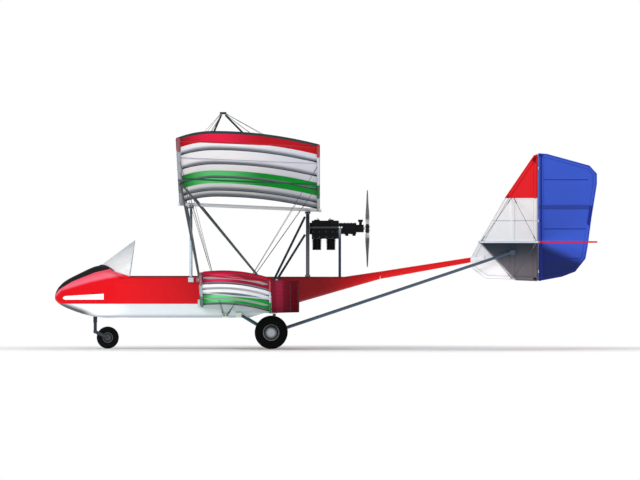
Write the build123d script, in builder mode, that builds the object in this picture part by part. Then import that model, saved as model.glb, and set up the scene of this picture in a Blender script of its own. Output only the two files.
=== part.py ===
from build123d import *
from collections import namedtuple
from math import cos, hypot, radians, sin, sqrt, tan
import os

# Two-seat strut-braced ultralight biplane with a pusher propeller.
# Millimetres. X runs aft from the nose, Y runs to the right wing (starboard), Z runs up from the ground.
# The origin is on the ground, midway between the nose and the rudder, on the centre plane.

os.makedirs("parts", exist_ok=True)

# Driving sizes: general
SEAT_GAP = 0.3              # gap left between a piece and the one that carries it
PIN_GAP = 0.1               # radial clearance of a pin or axle in its bore

# Pod: floor pan below the seam, upper shell above it
pod_wall = 12
pod_seam_z = 547
pod_half_width = 320
pod_floor_z = 378
pod_sill_z = 878
pod_low_radius = 110
pod_top_radius = 40
cockpit_front_x = -2396     # where the cowl ends and the level sill begins
pod_taper_x = -933          # where the underside starts to rise
pod_rear_x = -560
cowl_top_z = 1013
cowl_rear_x = -2768
opening_rear_x = -900
coaming_width = 52

# Tail cone and boom
cone_kink_x = 232
cone_rear_x = 659
cone_wall = 8
boom_front_diameter = 92
boom_rear_diameter = 58
boom_rear = (1930, 1110)    # X, Z of the boom's end, inside the fin
boom_front_z = 895
boom_wall = 3

# Upper wing
upper_le_x = -1785
upper_le_z = 1764
upper_chord = 1706
upper_drop = 76             # trailing edge below the leading edge
upper_half_span = 5050      # along the leading edge
upper_dihedral = 8.6
upper_crest = (442, 105)    # highest point of the section, aft of and above the leading edge
upper_tube_radius = 24
upper_te_radius = 16
upper_root = 48             # the sail starts this far from the centre plane
sail_thickness = 5
sail_rear_gap = 4           # the sail ends this far in front of the trailing tube's centre
rib_gap = 3                 # the battens lie this far under the sail, whose cloth hides the pocket
upper_rib_radius = 9
upper_rib_stations = (0.02, 0.115, 0.314, 0.527, 0.745, 0.996)
upper_post_stations = (0.40, 0.72, 0.985)
upper_post_radius = 11

# Lower wing
lower_le_x = -1527
lower_le_z = 526
lower_chord = 862
lower_drop = 82
lower_half_span = 2760
lower_root_y = 334
lower_dihedral = 8.1
lower_crest = (250, 34)
lower_tube_radius = 17
lower_te_radius = 12
lower_rib_radius = 7
lower_rib_stations = (0.02, 0.167, 0.333, 0.5, 0.667, 0.833, 0.994)
lower_post_stations = (0.42, 0.975)
lower_post_radius = 8

# Ailerons
aileron_hinge_gap = 30      # hinge line aft of the trailing tube's centre
aileron_chord = 320
aileron_nose_radius = 13
aileron_tail_radius = 5
aileron_root = 40           # first and last part of the panel that has no aileron
aileron_tip = 12
aileron_lug_stations = (0.10, 0.50, 0.90)

# Cabane, kingpost and struts
keel_radius = 21
keel_overhang = 24
cabane_front_x = -1646
cabane_rear_x = -223
cabane_radius = 16          # of the front struts
saddle_height = 26
saddle_half_length = 34
saddle_overhang = 28        # a cross bar reaches this far past its struts' centres
lift_strut_radius = 12
lift_front_foot_x = -1546
lift_rear_foot_x = -814
lift_station = 0.40
lift_spread = 40            # each lift strut's top stands this far from the station
brace_foot_x = -600
brace_radius = 14
brace_tops_z = (1632, 1408)
brace_half_gap = 20         # the two rear braces stand this far each side of their foot's middle
engine_support_x = 168
kingpost_top = (-1255, 2872)
kingpost_radius = 12
kingpost_feet_x = (-1742, -112)
foot_height = 56
foot_length = 64
foot_depth = 30
foot_top_z = 868

# Tail surfaces
hinge_pin_radius = 4
hinge_lug_thickness = 8
hinge_notch_gap = 7
hinge_pin_length = 12        # how far a pin stands out past its notch
cloth_thickness = 8         # the covered web between the tail's tubes
fin_thickness = 28
fin_border = 44
fin_rear_x = 2578
fin_rib_z = 1836            # where the fin's red top begins
fin_rib_depth = 28
fin_post_x = 2277
fin_post_width = 44
rudder_axis_x = 2606
rudder_nose_radius = 18
rudder_thickness = 24
rudder_border = 45
rudder_rib_z = 1727
rudder_rib_depth = 44
rudder_lugs_z = (2200, 1560, 940)
rudder_lug_radius = 10
stab_z = 1301
stab_thickness = 22
stab_border = 40
stab_front_x = 1867
stab_corner_radius = 260
stab_rib_y = 690
stab_rear_x = 2572
stab_half_span = 1350
elevator_axis_x = 2598
elevator_nose_radius = 12
elevator_thickness = 18
elevator_border = 36
elevator_rear_x = 3288
elevator_inner_y = 44
elevator_lugs_y = (200, 720, 1240)
elevator_lug_radius = 8
rudder_swing = 25
tail_brace_radius = 18
tail_brace_wall = 2.5
tail_brace_end_z = 1170
tail_brace_pad = (64, 42, 60)   # length, width and height of the block at its upper end

# Engine and propeller
shaft_z = 1465
case_front_x = -200
case_rear_x = 157
case_half_width = 82
case_low_z = 1340
case_high_z = 1562
cylinder_centres_x = (-112, 60)
cylinder_radius = 61
cylinder_low_z = 1203
cylinder_taper = 7          # the fins' radius shrinks by this towards the head
fin_count = 8
fin_depth = 12
head_depth = 20
head_radius = 12
starter_depth = 26          # round housing on the engine's front end
starter_radius = 72
plug_cover_half_length = 34
plug_cover_half_width = 46
plug_cover_height = 12
bearer_z = 1479
bearer_radius = 12
housing_rear_x = 370
housing_radius = 68
nose_case_rear_x = 461
nose_case_radius = 47
housing_ribs = 5
housing_rib_width = 9
housing_rib_height = 5
drain_bosses_x = (254, 342)
drain_boss_radius = 20
drain_boss_drop = 22
filler_x = 421
filler_radius = 18
filler_cap_z = 1546
filler_cap_height = 28
filler_cap_radius = 30
shaft_bore_depth = 36
shaft_radius = 15
propeller_x = 505
propeller_radius = 478
boss_radius = 49
hub_half_length = 21
flange_radius = 40
flange_thickness = 9

# Landing gear
axle_x = -667
main_tyre_radius = 200
main_tyre_half_width = 47.5
main_tyre_corner = 40
main_rim_radius = 100
main_boss_radius = 34
half_track = 760
axle_radius = 12.5
axle_beam_radius = 18
hub_half_width = 50
gear_front_radius = 19
gear_rear_radius = 20
gear_front_y = 668
gear_rear_y = 610
tail_brace_y = 545
tie_down_y = 450
tie_down_radius = 8
tie_down_thickness = 8
tie_down_outer = 18
tie_down_drop = 44          # hole's centre below the axle
nose_axle_x = -2662
nose_tyre_radius = 135
nose_tyre_half_width = 34
nose_rim_radius = 62
nose_leg_x = -2815
nose_leg_radius = 24
nose_leg_low_z = 318
nose_stem_radius = 20
nose_stem_low_z = 196
nose_pin_radius = 11
nose_pin_length = 46
nose_arm_y = 50
nose_arm_thickness = 12
nose_arm_top_radius = 20
nose_arm_end_radius = 18
crown_half_length = 22
crown_height = 32
crown_z = nose_stem_low_z + 10
nose_tyre_corner = 26
nose_boss_radius = 24
nose_axle_radius = 9
tow_pin_radius = 8          # the axle's ends, outside the arms
tow_pin_length = 26
nose_hub_half_width = 40

# Wires
wire_radius = 2.5
wire_pitch = 15             # the wires' ends stand this far apart on their lug
wire_hole_radius = 12       # where a flying wire passes through the lower sail
wire_lug_x = -1227
wire_lug_z = 395
wire_lug_face_y = 322
flying_le_stations = (0.70, 0.52)
flying_te_stations = (0.40, 0.70)
landing_le_stations = (0.70, 0.40)
landing_te_stations = (0.42, 0.72)
landing_le_standoff = 18    # a landing wire ends this far above its tube, clear of the sail
landing_te_standoff = 28
tail_wire_y = 1010          # where the tail's wires meet the stabilizer
tail_wire_low_z = 860
tail_wire_inset = 20        # their ends lie this far inside its front and rear edges


def write(part, name):
    """Labels a finished piece and writes it to its own file."""
    part.label = name
    export_step(part, f"parts/{name}.step")


def write_pair(part, name):
    """Writes a right-hand piece and its mirror image."""
    write(part, f"{name}_right")
    write(mirror(part, about=Plane.XZ), f"{name}_left")


def rod(start, end, radius):
    """A straight round rod between two points."""
    along = Vector(*end) - Vector(*start)
    with BuildPart() as made:
        with BuildSketch(Plane(origin=start, z_dir=along)):
            Circle(radius)
        extrude(amount=along.length)
    return made.part


def block(low, high):
    """A box from its lowest to its highest corner."""
    size = [b - a for a, b in zip(low, high)]
    with BuildPart() as made:
        with Locations(tuple((a + b) / 2 for a, b in zip(low, high))):
            Box(*size)
    return made.part


def section(x, low, high, half_width, low_radius, high_radius, inset=0):
    """A rounded body section on the plane at x."""
    with BuildSketch(Plane.YZ.offset(x)) as made:
        with Locations((0, (low + high) / 2)):
            Rectangle(2 * (half_width - inset), high - low - 2 * inset)
        fillet(made.vertices().group_by(Axis.Y)[0], low_radius - inset)
        fillet(made.vertices().group_by(Axis.Y)[-1], high_radius - inset)
    return made.sketch


# Pod
# columns: x, low z, high z, half width, low corner radius, high corner radius
nose_sections = (
    (-3306, 606, 652, 26, 18, 18),
    (-3262, 552, 745, 96, 60, 60),
    (-3159, 494, 838, 168, 100, 110),
    (-2980, 428, 930, 226, 110, 140),
    (cowl_rear_x, 384, cowl_top_z, 272, pod_low_radius, 150),
    (-2580, 379, 946, 306, pod_low_radius, 90),
    (cockpit_front_x, pod_floor_z, pod_sill_z, pod_half_width, pod_low_radius, pod_top_radius),
)
pod_rear_low = 496
tub_sections = (
    nose_sections[-1],
    (pod_taper_x, pod_floor_z, pod_sill_z, pod_half_width, pod_low_radius, pod_top_radius),
    (pod_rear_x, pod_rear_low, pod_sill_z, pod_half_width, 100, pod_top_radius),
)


def body(sections, ruled, inset=0):
    """A loft through body sections, all moved in by inset."""
    with BuildPart() as made:
        loft(sections=[section(*row, inset=inset) for row in sections], ruled=ruled)
    return made.part


with BuildPart() as pod_outer:
    add(body(nose_sections, ruled=False))
    add(body(tub_sections, ruled=True))

with BuildPart() as pod_cavity:
    add(body(nose_sections[1:], ruled=False, inset=pod_wall))
    add(body(tub_sections, ruled=True, inset=pod_wall))

opening_half_width = pod_half_width - coaming_width
opening_front = cockpit_front_x - cowl_rear_x - 20
with BuildPart() as cockpit_cut:
    with BuildSketch(Plane.XY.offset(pod_seam_z + 150)):
        with Locations((cockpit_front_x, 0)):
            Ellipse(opening_front, opening_half_width)
        with Locations(((cockpit_front_x + opening_rear_x) / 2, 0)):
            Rectangle(opening_rear_x - cockpit_front_x, 2 * opening_half_width)
    extrude(amount=cowl_top_z)
    fillet(cockpit_cut.edges().filter_by(Axis.Z).group_by(Axis.X)[-1], 90)

with BuildPart() as pod_shell:
    add(pod_outer.part)
    add(pod_cavity.part, mode=Mode.SUBTRACT)
    add(cockpit_cut.part, mode=Mode.SUBTRACT)

with BuildPart() as pod_upper_shell:
    add(pod_shell.part)
    split(bisect_by=Plane.XY.offset(pod_seam_z), keep=Keep.TOP)
write(pod_upper_shell.part, "pod_upper_shell")

with BuildPart() as pod_floor_pan:
    add(pod_shell.part)
    split(bisect_by=Plane.XY.offset(pod_seam_z), keep=Keep.BOTTOM)
write(pod_floor_pan.part, "pod_floor_pan")

# Windscreen: a ruled skin from a curve on the cowl to an upright arch
screen_thickness = 4
screen_half_width = 292
screen_skirt = 90
screen_top = (-2331, 1319)
screen_base_length = 500


def crescent(plane, length, half_width):
    """The front half of a thin elliptical band on a plane."""
    with BuildSketch(plane) as made:
        Ellipse(length, half_width)
        Ellipse(length - screen_thickness, half_width - screen_thickness, mode=Mode.SUBTRACT)
        with Locations((-length, 0)):
            Rectangle(2 * length, 3 * half_width, mode=Mode.SUBTRACT)
    return made.sketch


def leaning_plane(x, z, direction):
    """A plane whose local x runs along direction in the XZ plane and whose local y is the row's Y."""
    lean = Vector(direction[0], 0, direction[1]).normalized()
    return Plane(origin=(x, 0, z), x_dir=lean, z_dir=lean.cross(Vector(0, 1, 0)))


arch_height = hypot(screen_top[0] - cockpit_front_x, screen_top[1] - pod_sill_z)
with BuildPart() as windscreen:
    loft(
        sections=[
            crescent(
                leaning_plane(cockpit_front_x, pod_sill_z - screen_skirt, (-500, 131)),
                screen_base_length, screen_half_width + 6),
            crescent(
                leaning_plane(cockpit_front_x + 2, pod_sill_z + 16,
                              (screen_top[0] - cockpit_front_x, screen_top[1] - pod_sill_z)),
                arch_height - 12, screen_half_width),
        ],
        ruled=True,
    )
    add(pod_outer.part, mode=Mode.SUBTRACT)
write(windscreen.part, "windscreen")

# Cockpit fittings
panel_x = -2500
panel_low_z = 690
panel_high_z = 850
panel_thickness = 8
dial_radius = 38
dial_pitch = 96
dial_depth = 7
dials_z = 760
with BuildPart() as instrument_panel:
    add(block((panel_x, -pod_half_width, panel_low_z),
              (panel_x + panel_thickness, pod_half_width, panel_high_z)))
    add(pod_cavity.part, mode=Mode.INTERSECT)
    with BuildSketch(Plane.YZ.offset(panel_x + panel_thickness)):
        with Locations((0, dials_z)):
            with GridLocations(dial_pitch, 0, 4, 1):
                Circle(dial_radius)
    extrude(amount=dial_depth)
write(instrument_panel.part, "instrument_panel")

seat_half_width = 200
seat_pitch = 820            # front seat to rear seat
seat_front_edge_x = -2190
seat_corner_radius = 24
floor_top_z = pod_floor_z + pod_wall
seat_low_z = floor_top_z + SEAT_GAP
# columns: distance aft of the seat's front edge, height
seat_side = ((0, seat_low_z), (0, 500), (390, 455), (540, 850), (600, 850), (420, seat_low_z))
for name, shift in (("seat_front", 0), ("seat_rear", seat_pitch)):
    x0 = seat_front_edge_x + shift
    with BuildPart() as seat:
        with BuildSketch(Plane.XZ) as side:
            with BuildLine():
                Polyline(*[(x0 + aft, z) for aft, z in seat_side], close=True)
            make_face()
            fillet(side.vertices().sort_by(Axis.Y)[2:4], seat_corner_radius)
            fillet(side.vertices().group_by(Axis.Y)[-1], seat_corner_radius)
        extrude(amount=seat_half_width, both=True)
    write(seat.part, name)

stick_radius = 12
stick_setback = 110         # a stick's foot stands this far in front of its seat
stick_lean = 40
stick_top_z = 760
pedal_x = -2730
pedal_half_gap = 90
pedal_half_width = 40
pedal_thickness = 14
pedal_top_z = 560
with BuildPart() as cockpit_controls:
    for seat_x in (seat_front_edge_x, seat_front_edge_x + seat_pitch):
        foot_x = seat_x - stick_setback
        foot_z = seat_low_z + stick_radius * stick_lean / (stick_top_z - floor_top_z)
        add(rod((foot_x, 0, foot_z), (foot_x + stick_lean, 0, stick_top_z), stick_radius))
    for y in (-pedal_half_gap, pedal_half_gap):
        add(block((pedal_x, y - pedal_half_width, floor_top_z + 3),
                  (pedal_x + pedal_thickness, y + pedal_half_width, pedal_top_z)))
write(cockpit_controls.part, "cockpit_controls")

bulkhead_x = -620
bulkhead_thickness = 10
with BuildPart() as rear_bulkhead:
    add(block((bulkhead_x, -pod_half_width, pod_floor_z),
              (bulkhead_x + bulkhead_thickness, pod_half_width, pod_sill_z)))
    add(pod_cavity.part, mode=Mode.INTERSECT)
write(rear_bulkhead.part, "rear_bulkhead")

# Rear fuselage and boom
# columns as for the pod
cone_sections = (
    tub_sections[-1],
    (cone_kink_x, 726, pod_sill_z, 150, 60, pod_top_radius),
    (cone_rear_x, boom_front_z - 47, boom_front_z + 47, 47, 44, 44),
)
with BuildPart() as cone_outer:
    add(body(cone_sections, ruled=True))
with BuildPart() as rear_fuselage:
    add(cone_outer.part)
    add(body(cone_sections, ruled=True, inset=cone_wall), mode=Mode.SUBTRACT)
write(rear_fuselage.part, "rear_fuselage")

boom_start = Vector(cone_rear_x, 0, boom_front_z)
boom_end = Vector(boom_rear[0], 0, boom_rear[1])
boom_length = (boom_end - boom_start).length


def boom_cone(grow, extra=0):
    """The boom's tapered round form, grown by a gap all round."""
    axis = (boom_end - boom_start).normalized()
    with BuildPart() as made:
        loft(sections=[
            ring_section(boom_start, axis, boom_front_diameter / 2 + grow),
            ring_section(boom_end + axis * extra, axis, boom_rear_diameter / 2 + grow),
        ])
    return made.part


def ring_section(centre, axis, radius):
    """A round section across an axis."""
    with BuildSketch(Plane(origin=centre, z_dir=axis)) as made:
        Circle(radius)
    return made.sketch


with BuildPart() as tail_boom:
    add(boom_cone(0))
    add(boom_cone(-boom_wall), mode=Mode.SUBTRACT)
    split(bisect_by=Plane.YZ.offset(cone_rear_x), keep=Keep.TOP)
write(tail_boom.part, "tail_boom")

# Wings
Wing = namedtuple("Wing", "le_x le_z root_y dihedral chord drop crest tube te_tube half_span")
UPPER = Wing(upper_le_x, upper_le_z, 0, upper_dihedral, upper_chord, upper_drop, upper_crest,
             upper_tube_radius, upper_te_radius, upper_half_span)
LOWER = Wing(lower_le_x, lower_le_z, lower_root_y, lower_dihedral, lower_chord, lower_drop,
             lower_crest, lower_tube_radius, lower_te_radius, lower_half_span)
SIDES = (("left", -1), ("right", 1))


def on_wing(wing, side, along, aft, up=0):
    """The point along the span, aft of the leading edge and up from the chord line."""
    rise = radians(wing.dihedral)
    height = up - wing.drop * aft / wing.chord
    return (
        wing.le_x + aft,
        side * (wing.root_y + along * cos(rise) - height * sin(rise)),
        wing.le_z + along * sin(rise) + height * cos(rise),
    )


def outward(wing, side):
    """The unit direction that the wing's span takes."""
    rise = radians(wing.dihedral)
    return Vector(0, side * cos(rise), sin(rise))


def camber(wing, front, rear, depth, thickness):
    """A curved band along the wing's section, depth below the sail's top, between two aft distances.

    The sail's top is two arcs that meet level at the crest.
    """
    tops = []
    for aft, edge_up in ((wing.tube, wing.tube), (wing.chord - wing.te_tube, wing.te_tube)):
        end_up = edge_up + sail_thickness + 0.5 - wing.drop * aft / wing.chord
        dx, dz = abs(aft - wing.crest[0]), wing.crest[1] - end_up
        tops.append((dx * dx + dz * dz) / (2 * dz))
    crest_x, crest_z = wing.crest

    def height(aft):
        radius = tops[0] if aft < crest_x else tops[1]
        return crest_z - radius + sqrt(radius ** 2 - (aft - crest_x) ** 2)

    corners = [(front, height(front)), (crest_x, crest_z), (rear, height(rear))]
    high = [(x, z - depth) for x, z in corners]
    low = [(x, z - depth - thickness) for x, z in corners]
    with BuildSketch(Plane.XZ) as made:
        with BuildLine():
            for run in (high, low):
                TangentArc(run[1], run[0], tangent=(-1, 0))
                TangentArc(run[1], run[2], tangent=(1, 0))
            Line(high[0], low[0])
            Line(high[2], low[2])
        make_face()
    return made.sketch


def spanwise(wing, side, face, start, length):
    """A section face, turned square to the span and pushed out along it."""
    origin = on_wing(wing, side, start, 0)
    placed = face.moved(Location(origin, (side * wing.dihedral, 0, 0)))
    with BuildPart() as made:
        extrude(placed, amount=length, dir=outward(wing, side))
    return made.part


def chordwise(wing, side, station, radius, up):
    """A straight tube from the leading tube to the trailing tube."""
    start = on_wing(wing, side, station, 2 * wing.tube + SEAT_GAP, up)
    end = on_wing(wing, side, station, wing.chord - 2 * wing.te_tube - SEAT_GAP, up)
    return rod(start, end, radius)


def wing_tubes(wing, side, start, post_stations, post_radius):
    """The leading and trailing tubes and the straight posts between them."""
    end = wing.half_span
    rear_aft = wing.chord - wing.te_tube
    rear_start = start - wing.drop * rear_aft / wing.chord * tan(radians(wing.dihedral))
    with BuildPart() as made:
        add(rod(on_wing(wing, side, start, wing.tube), on_wing(wing, side, end, wing.tube), wing.tube))
        add(rod(on_wing(wing, side, rear_start, rear_aft), on_wing(wing, side, end, rear_aft), wing.te_tube))
        for share in post_stations:
            add(chordwise(wing, side, share * end, post_radius, 0))
    return made.part


def wing_ribs(wing, side, stations, size, depth):
    """The cambered battens under the sail."""
    ends = ((wing.tube, wing.tube), (wing.chord - wing.te_tube, wing.te_tube))
    with BuildSketch(Plane.XZ) as band:
        add(camber(wing, ends[0][0], ends[1][0], depth, size))
        for aft, radius in ends:
            with Locations((aft, -wing.drop * aft / wing.chord)):
                Circle(radius + SEAT_GAP, mode=Mode.SUBTRACT)
    face = band.sketch
    with BuildPart() as made:
        for share in stations:
            start = share * wing.half_span - size / 2
            add(spanwise(wing, side, face, start, size))
    return made.part


def keel_z(x):
    """The height of the keel tube's centre line."""
    return upper_le_z - upper_drop * (x - upper_le_x) / upper_chord


keel_ends = [(x, 0, keel_z(x)) for x in (
    upper_le_x - keel_overhang, upper_le_x + upper_chord + keel_overhang)]
with BuildPart() as keel_tube:
    add(rod(*keel_ends, keel_radius))
write(keel_tube.part, "keel_tube")


def strut(start, end, radius, start_normal=(0, 0, 1), end_normal=(0, 0, 1)):
    """A round rod between two flat seats, cut back so that its square ends just clear them."""
    first, last = Vector(*start), Vector(*end)
    way = (last - first).normalized()
    trims = []
    for normal in (Vector(*start_normal), Vector(*end_normal)):
        lean = way.cross(normal).length / abs(way.dot(normal))
        trims.append(radius * lean + SEAT_GAP)
    return rod(first + way * trims[0], last - way * trims[1], radius)


upper_tube_start = (keel_radius + SEAT_GAP) / cos(radians(upper_dihedral)) \
    + upper_tube_radius * tan(radians(upper_dihedral))
root_plate_thickness = 5
root_plate_face = pod_half_width + SEAT_GAP + root_plate_thickness
lower_tube_start = (root_plate_face + SEAT_GAP - lower_root_y) / cos(radians(lower_dihedral)) \
    + lower_tube_radius * tan(radians(lower_dihedral))


def wing_wires(side, root, le_stations, te_stations, standoffs, radius):
    """A fan of wires from a row of ends at the root to the upper wing's tubes.

    Each wire is cut back at the root to a face square to Y, and stops above or below its tube.
    """
    ends = [(share, upper_tube_radius, upper_tube_radius + standoffs[0]) for share in le_stations]
    ends += [(share, upper_chord - upper_te_radius, upper_te_radius + standoffs[1]) for share in te_stations]
    wires = []
    for place, (share, aft, stop) in enumerate(ends):
        along = (place - (len(ends) - 1) / 2) * wire_pitch
        foot = Vector(root[0] + along, side * root[1], root[2])
        head = Vector(*on_wing(UPPER, side, share * upper_half_span, aft))
        way = (head - foot).normalized()
        spread = way.cross(outward(UPPER, side)).length
        lean = hypot(way.X, way.Z) / abs(way.Y)
        foot += way * (wire_radius * lean + SEAT_GAP)
        wires.append(rod(foot, head - way * ((stop + wire_radius + SEAT_GAP) / spread), radius))
    return wires


def flying_fan(side, radius):
    """The flying wires of one side, from the lug under the pod."""
    root = (wire_lug_x, wire_lug_face_y, wire_lug_z)
    return wing_wires(side, root, flying_le_stations, flying_te_stations, (0, 0), radius)


RIGHT = 1
with BuildPart() as upper_sail:
    face = camber(UPPER, upper_tube_radius, upper_chord - upper_te_radius - sail_rear_gap, 0, sail_thickness)
    add(spanwise(UPPER, RIGHT, face, upper_root, upper_half_span - upper_root))
write_pair(upper_sail.part, "upper_sail")

with BuildPart() as upper_frame:
    add(wing_tubes(UPPER, RIGHT, upper_tube_start, upper_post_stations, upper_post_radius))
write_pair(upper_frame.part, "upper_frame")

with BuildPart() as upper_ribs:
    add(wing_ribs(UPPER, RIGHT, upper_rib_stations, 2 * upper_rib_radius, sail_thickness + rib_gap))
write_pair(upper_ribs.part, "upper_ribs")

with BuildPart() as lower_sail:
    face = camber(LOWER, lower_tube_radius, lower_chord - lower_te_radius - sail_rear_gap, 0, sail_thickness)
    add(spanwise(LOWER, RIGHT, face, 0, lower_half_span))
    for path in flying_fan(RIGHT, wire_hole_radius):
        add(path, mode=Mode.SUBTRACT)
write_pair(lower_sail.part, "lower_sail")

with BuildPart() as lower_ribs:
    add(wing_ribs(LOWER, RIGHT, lower_rib_stations, 2 * lower_rib_radius, sail_thickness + rib_gap))
write_pair(lower_ribs.part, "lower_ribs")

# Lower wing frame with its aileron hinge lugs, and the ailerons
aileron_axis_aft = lower_chord - lower_te_radius + aileron_hinge_gap
aileron_length = lower_half_span - aileron_root - aileron_tip
lug_reach = aileron_nose_radius - 4


def hinge_lug(wing, side, along):
    """A lug behind the trailing tube, with the hinge pin through it."""
    centre = on_wing(wing, side, along - hinge_lug_thickness / 2, wing.chord - wing.te_tube)
    pin_start = on_wing(wing, side, along - hinge_lug_thickness - hinge_pin_length, aileron_axis_aft)
    pin_end = on_wing(wing, side, along + hinge_lug_thickness + hinge_pin_length, aileron_axis_aft)
    plane = Plane(origin=centre, x_dir=(1, 0, 0), z_dir=outward(wing, side))
    with BuildPart() as made:
        with BuildSketch(plane):
            with Locations((aileron_hinge_gap / 2, 0)):
                Rectangle(aileron_hinge_gap, 2 * lug_reach)
            with Locations((aileron_hinge_gap, 0)):
                Circle(lug_reach)
        extrude(amount=hinge_lug_thickness)
        add(rod(pin_start, pin_end, hinge_pin_radius))
    return made.part


with BuildPart() as lower_frame:
    add(wing_tubes(LOWER, RIGHT, lower_tube_start, lower_post_stations, lower_post_radius))
    for share in aileron_lug_stations:
        add(hinge_lug(LOWER, RIGHT, share * lower_half_span))
write_pair(lower_frame.part, "lower_frame")


def across_hinge(along):
    """The plane across the aileron's hinge line at a distance along the span."""
    origin = on_wing(LOWER, RIGHT, along, aileron_axis_aft)
    return Plane(origin=origin, x_dir=(1, 0, 0), z_dir=outward(LOWER, RIGHT))


with BuildPart() as aileron:
    with BuildSketch(across_hinge(aileron_root)):
        Circle(aileron_nose_radius)
        with Locations((aileron_chord - aileron_tail_radius, 0)):
            Circle(aileron_tail_radius)
        make_hull()
    extrude(amount=aileron_length)
    with BuildSketch(across_hinge(aileron_root)):
        Circle(hinge_pin_radius + PIN_GAP)
    extrude(amount=aileron_length, mode=Mode.SUBTRACT)
    for share in aileron_lug_stations:
        half = hinge_lug_thickness / 2 + hinge_notch_gap
        with BuildSketch(across_hinge(share * lower_half_span - half)):
            Rectangle(2 * aileron_nose_radius + 12, 4 * aileron_nose_radius)
        extrude(amount=2 * half, mode=Mode.SUBTRACT)
write_pair(aileron.part, "aileron")

root_plate_front_x = lower_le_x - 35
root_plate_rear_x = lower_le_x + lower_chord + 13
root_plate_top_z = lower_le_z + 74
root_plate_outline = (
    (root_plate_front_x, lower_le_z - 26), (root_plate_front_x, root_plate_top_z),
    (root_plate_rear_x, root_plate_top_z), (root_plate_rear_x, lower_le_z - lower_drop - 16))
with BuildPart() as wing_root_plates:
    for side in (-1, 1):
        face_y = side * (pod_half_width + SEAT_GAP)
        with BuildSketch(Plane.XZ.offset(-face_y)):
            with BuildLine():
                Polyline(*root_plate_outline, close=True)
            make_face()
        extrude(amount=-side * root_plate_thickness)
write(wing_root_plates.part, "wing_root_plates")

# Cabane, kingpost and bracing struts
side_face = pod_half_width + SEAT_GAP
cabane_rear_radius = 22     # the rear cabane struts are stouter
cabane_rear_head_y = 62
cabane_front_head_y = 30
deck_z = pod_sill_z
deck_foot_height = 22
cabane_rear_foot_y = 175
engine_support_radius = 16
bearer_y = case_half_width + SEAT_GAP + bearer_radius


def side_foot(side, x, half_length):
    """A block on the pod's flat side, with a level top."""
    inner, outer = side * side_face, side * (side_face + foot_depth)
    return block(
        (x - half_length, min(inner, outer), foot_top_z - foot_height),
        (x + half_length, max(inner, outer), foot_top_z))


def deck_foot(side, x, y):
    """A low block on the flat top of the tail cone."""
    return block(
        (x - foot_length / 2, side * y - foot_depth, deck_z + SEAT_GAP),
        (x + foot_length / 2, side * y + foot_depth, deck_z + SEAT_GAP + deck_foot_height))


def saddle_low_z(x):
    """The underside of a cross bar that just clears the sloping keel tube."""
    return keel_z(x + saddle_half_length) - keel_radius - SEAT_GAP - saddle_height


def saddle(x, half_width):
    """A cross bar under the keel tube."""
    low = saddle_low_z(x)
    return block((x - saddle_half_length, -half_width, low),
                 (x + saddle_half_length, half_width, low + saddle_height))


side_foot_y = side_face + foot_depth / 2
with BuildPart() as front_cabane:
    seat_z = saddle_low_z(cabane_front_x)
    add(saddle(cabane_front_x, cabane_front_head_y + saddle_overhang))
    for _, side in SIDES:
        add(side_foot(side, cabane_front_x, foot_length / 2))
        add(strut((cabane_front_x, side * side_foot_y, foot_top_z),
                  (cabane_front_x, side * cabane_front_head_y, seat_z), cabane_radius))
write(front_cabane.part, "front_cabane_struts")

with BuildPart() as rear_cabane:
    seat_z = saddle_low_z(cabane_rear_x)
    add(saddle(cabane_rear_x, cabane_rear_head_y + saddle_overhang))
    for _, side in SIDES:
        add(deck_foot(side, cabane_rear_x, cabane_rear_foot_y))
        add(strut((cabane_rear_x, side * cabane_rear_foot_y, deck_z + SEAT_GAP + deck_foot_height),
                  (cabane_rear_x, side * cabane_rear_head_y, seat_z), cabane_rear_radius))
write(rear_cabane.part, "rear_cabane_struts")


def cabane_rear_y(z):
    """How far out the rear cabane strut's centre line is at a height."""
    low = deck_z + deck_foot_height
    high = keel_z(cabane_rear_x) - keel_radius - saddle_height
    share = (z - low) / (high - low)
    return cabane_rear_foot_y + share * (cabane_rear_head_y - cabane_rear_foot_y)


with BuildPart() as rear_braces:
    for _, side in SIDES:
        add(side_foot(side, brace_foot_x, foot_length / 2 + brace_half_gap))
        for z, shift in zip(brace_tops_z, (-brace_half_gap, brace_half_gap)):
            add(strut((brace_foot_x + shift, side * side_foot_y, foot_top_z),
                      (cabane_rear_x - cabane_rear_radius, side * cabane_rear_y(z), z),
                      brace_radius, end_normal=(1, 0, 0)))
write(rear_braces.part, "rear_braces")

pad_depth = 26
pad_width = 48
pad_half_length = 80
lift_foot_inset = 8
with BuildPart() as lift_struts:
    for _, side in SIDES:
        along = lift_station * upper_half_span
        out = outward(UPPER, side)
        pad_top = upper_tube_radius + 1
        up = Vector(0, -side * out.Z, out.Y * side)
        centre = Vector(*on_wing(UPPER, side, along, upper_tube_radius)) - up * (pad_top + pad_depth / 2)
        with BuildSketch(Plane(origin=centre - out * pad_half_length, x_dir=(1, 0, 0), z_dir=out)):
            Rectangle(pad_width, pad_depth)
        extrude(amount=2 * pad_half_length)
        for foot_x, spread in ((lift_front_foot_x, -lift_spread), (lift_rear_foot_x, lift_spread)):
            head = centre - up * (pad_depth / 2) + out * spread
            add(side_foot(side, foot_x, foot_length / 2))
            add(strut((foot_x, side * (side_face + lift_foot_inset), foot_top_z), tuple(head),
                      lift_strut_radius, end_normal=tuple(up)))
write(lift_struts.part, "lift_struts")

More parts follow.
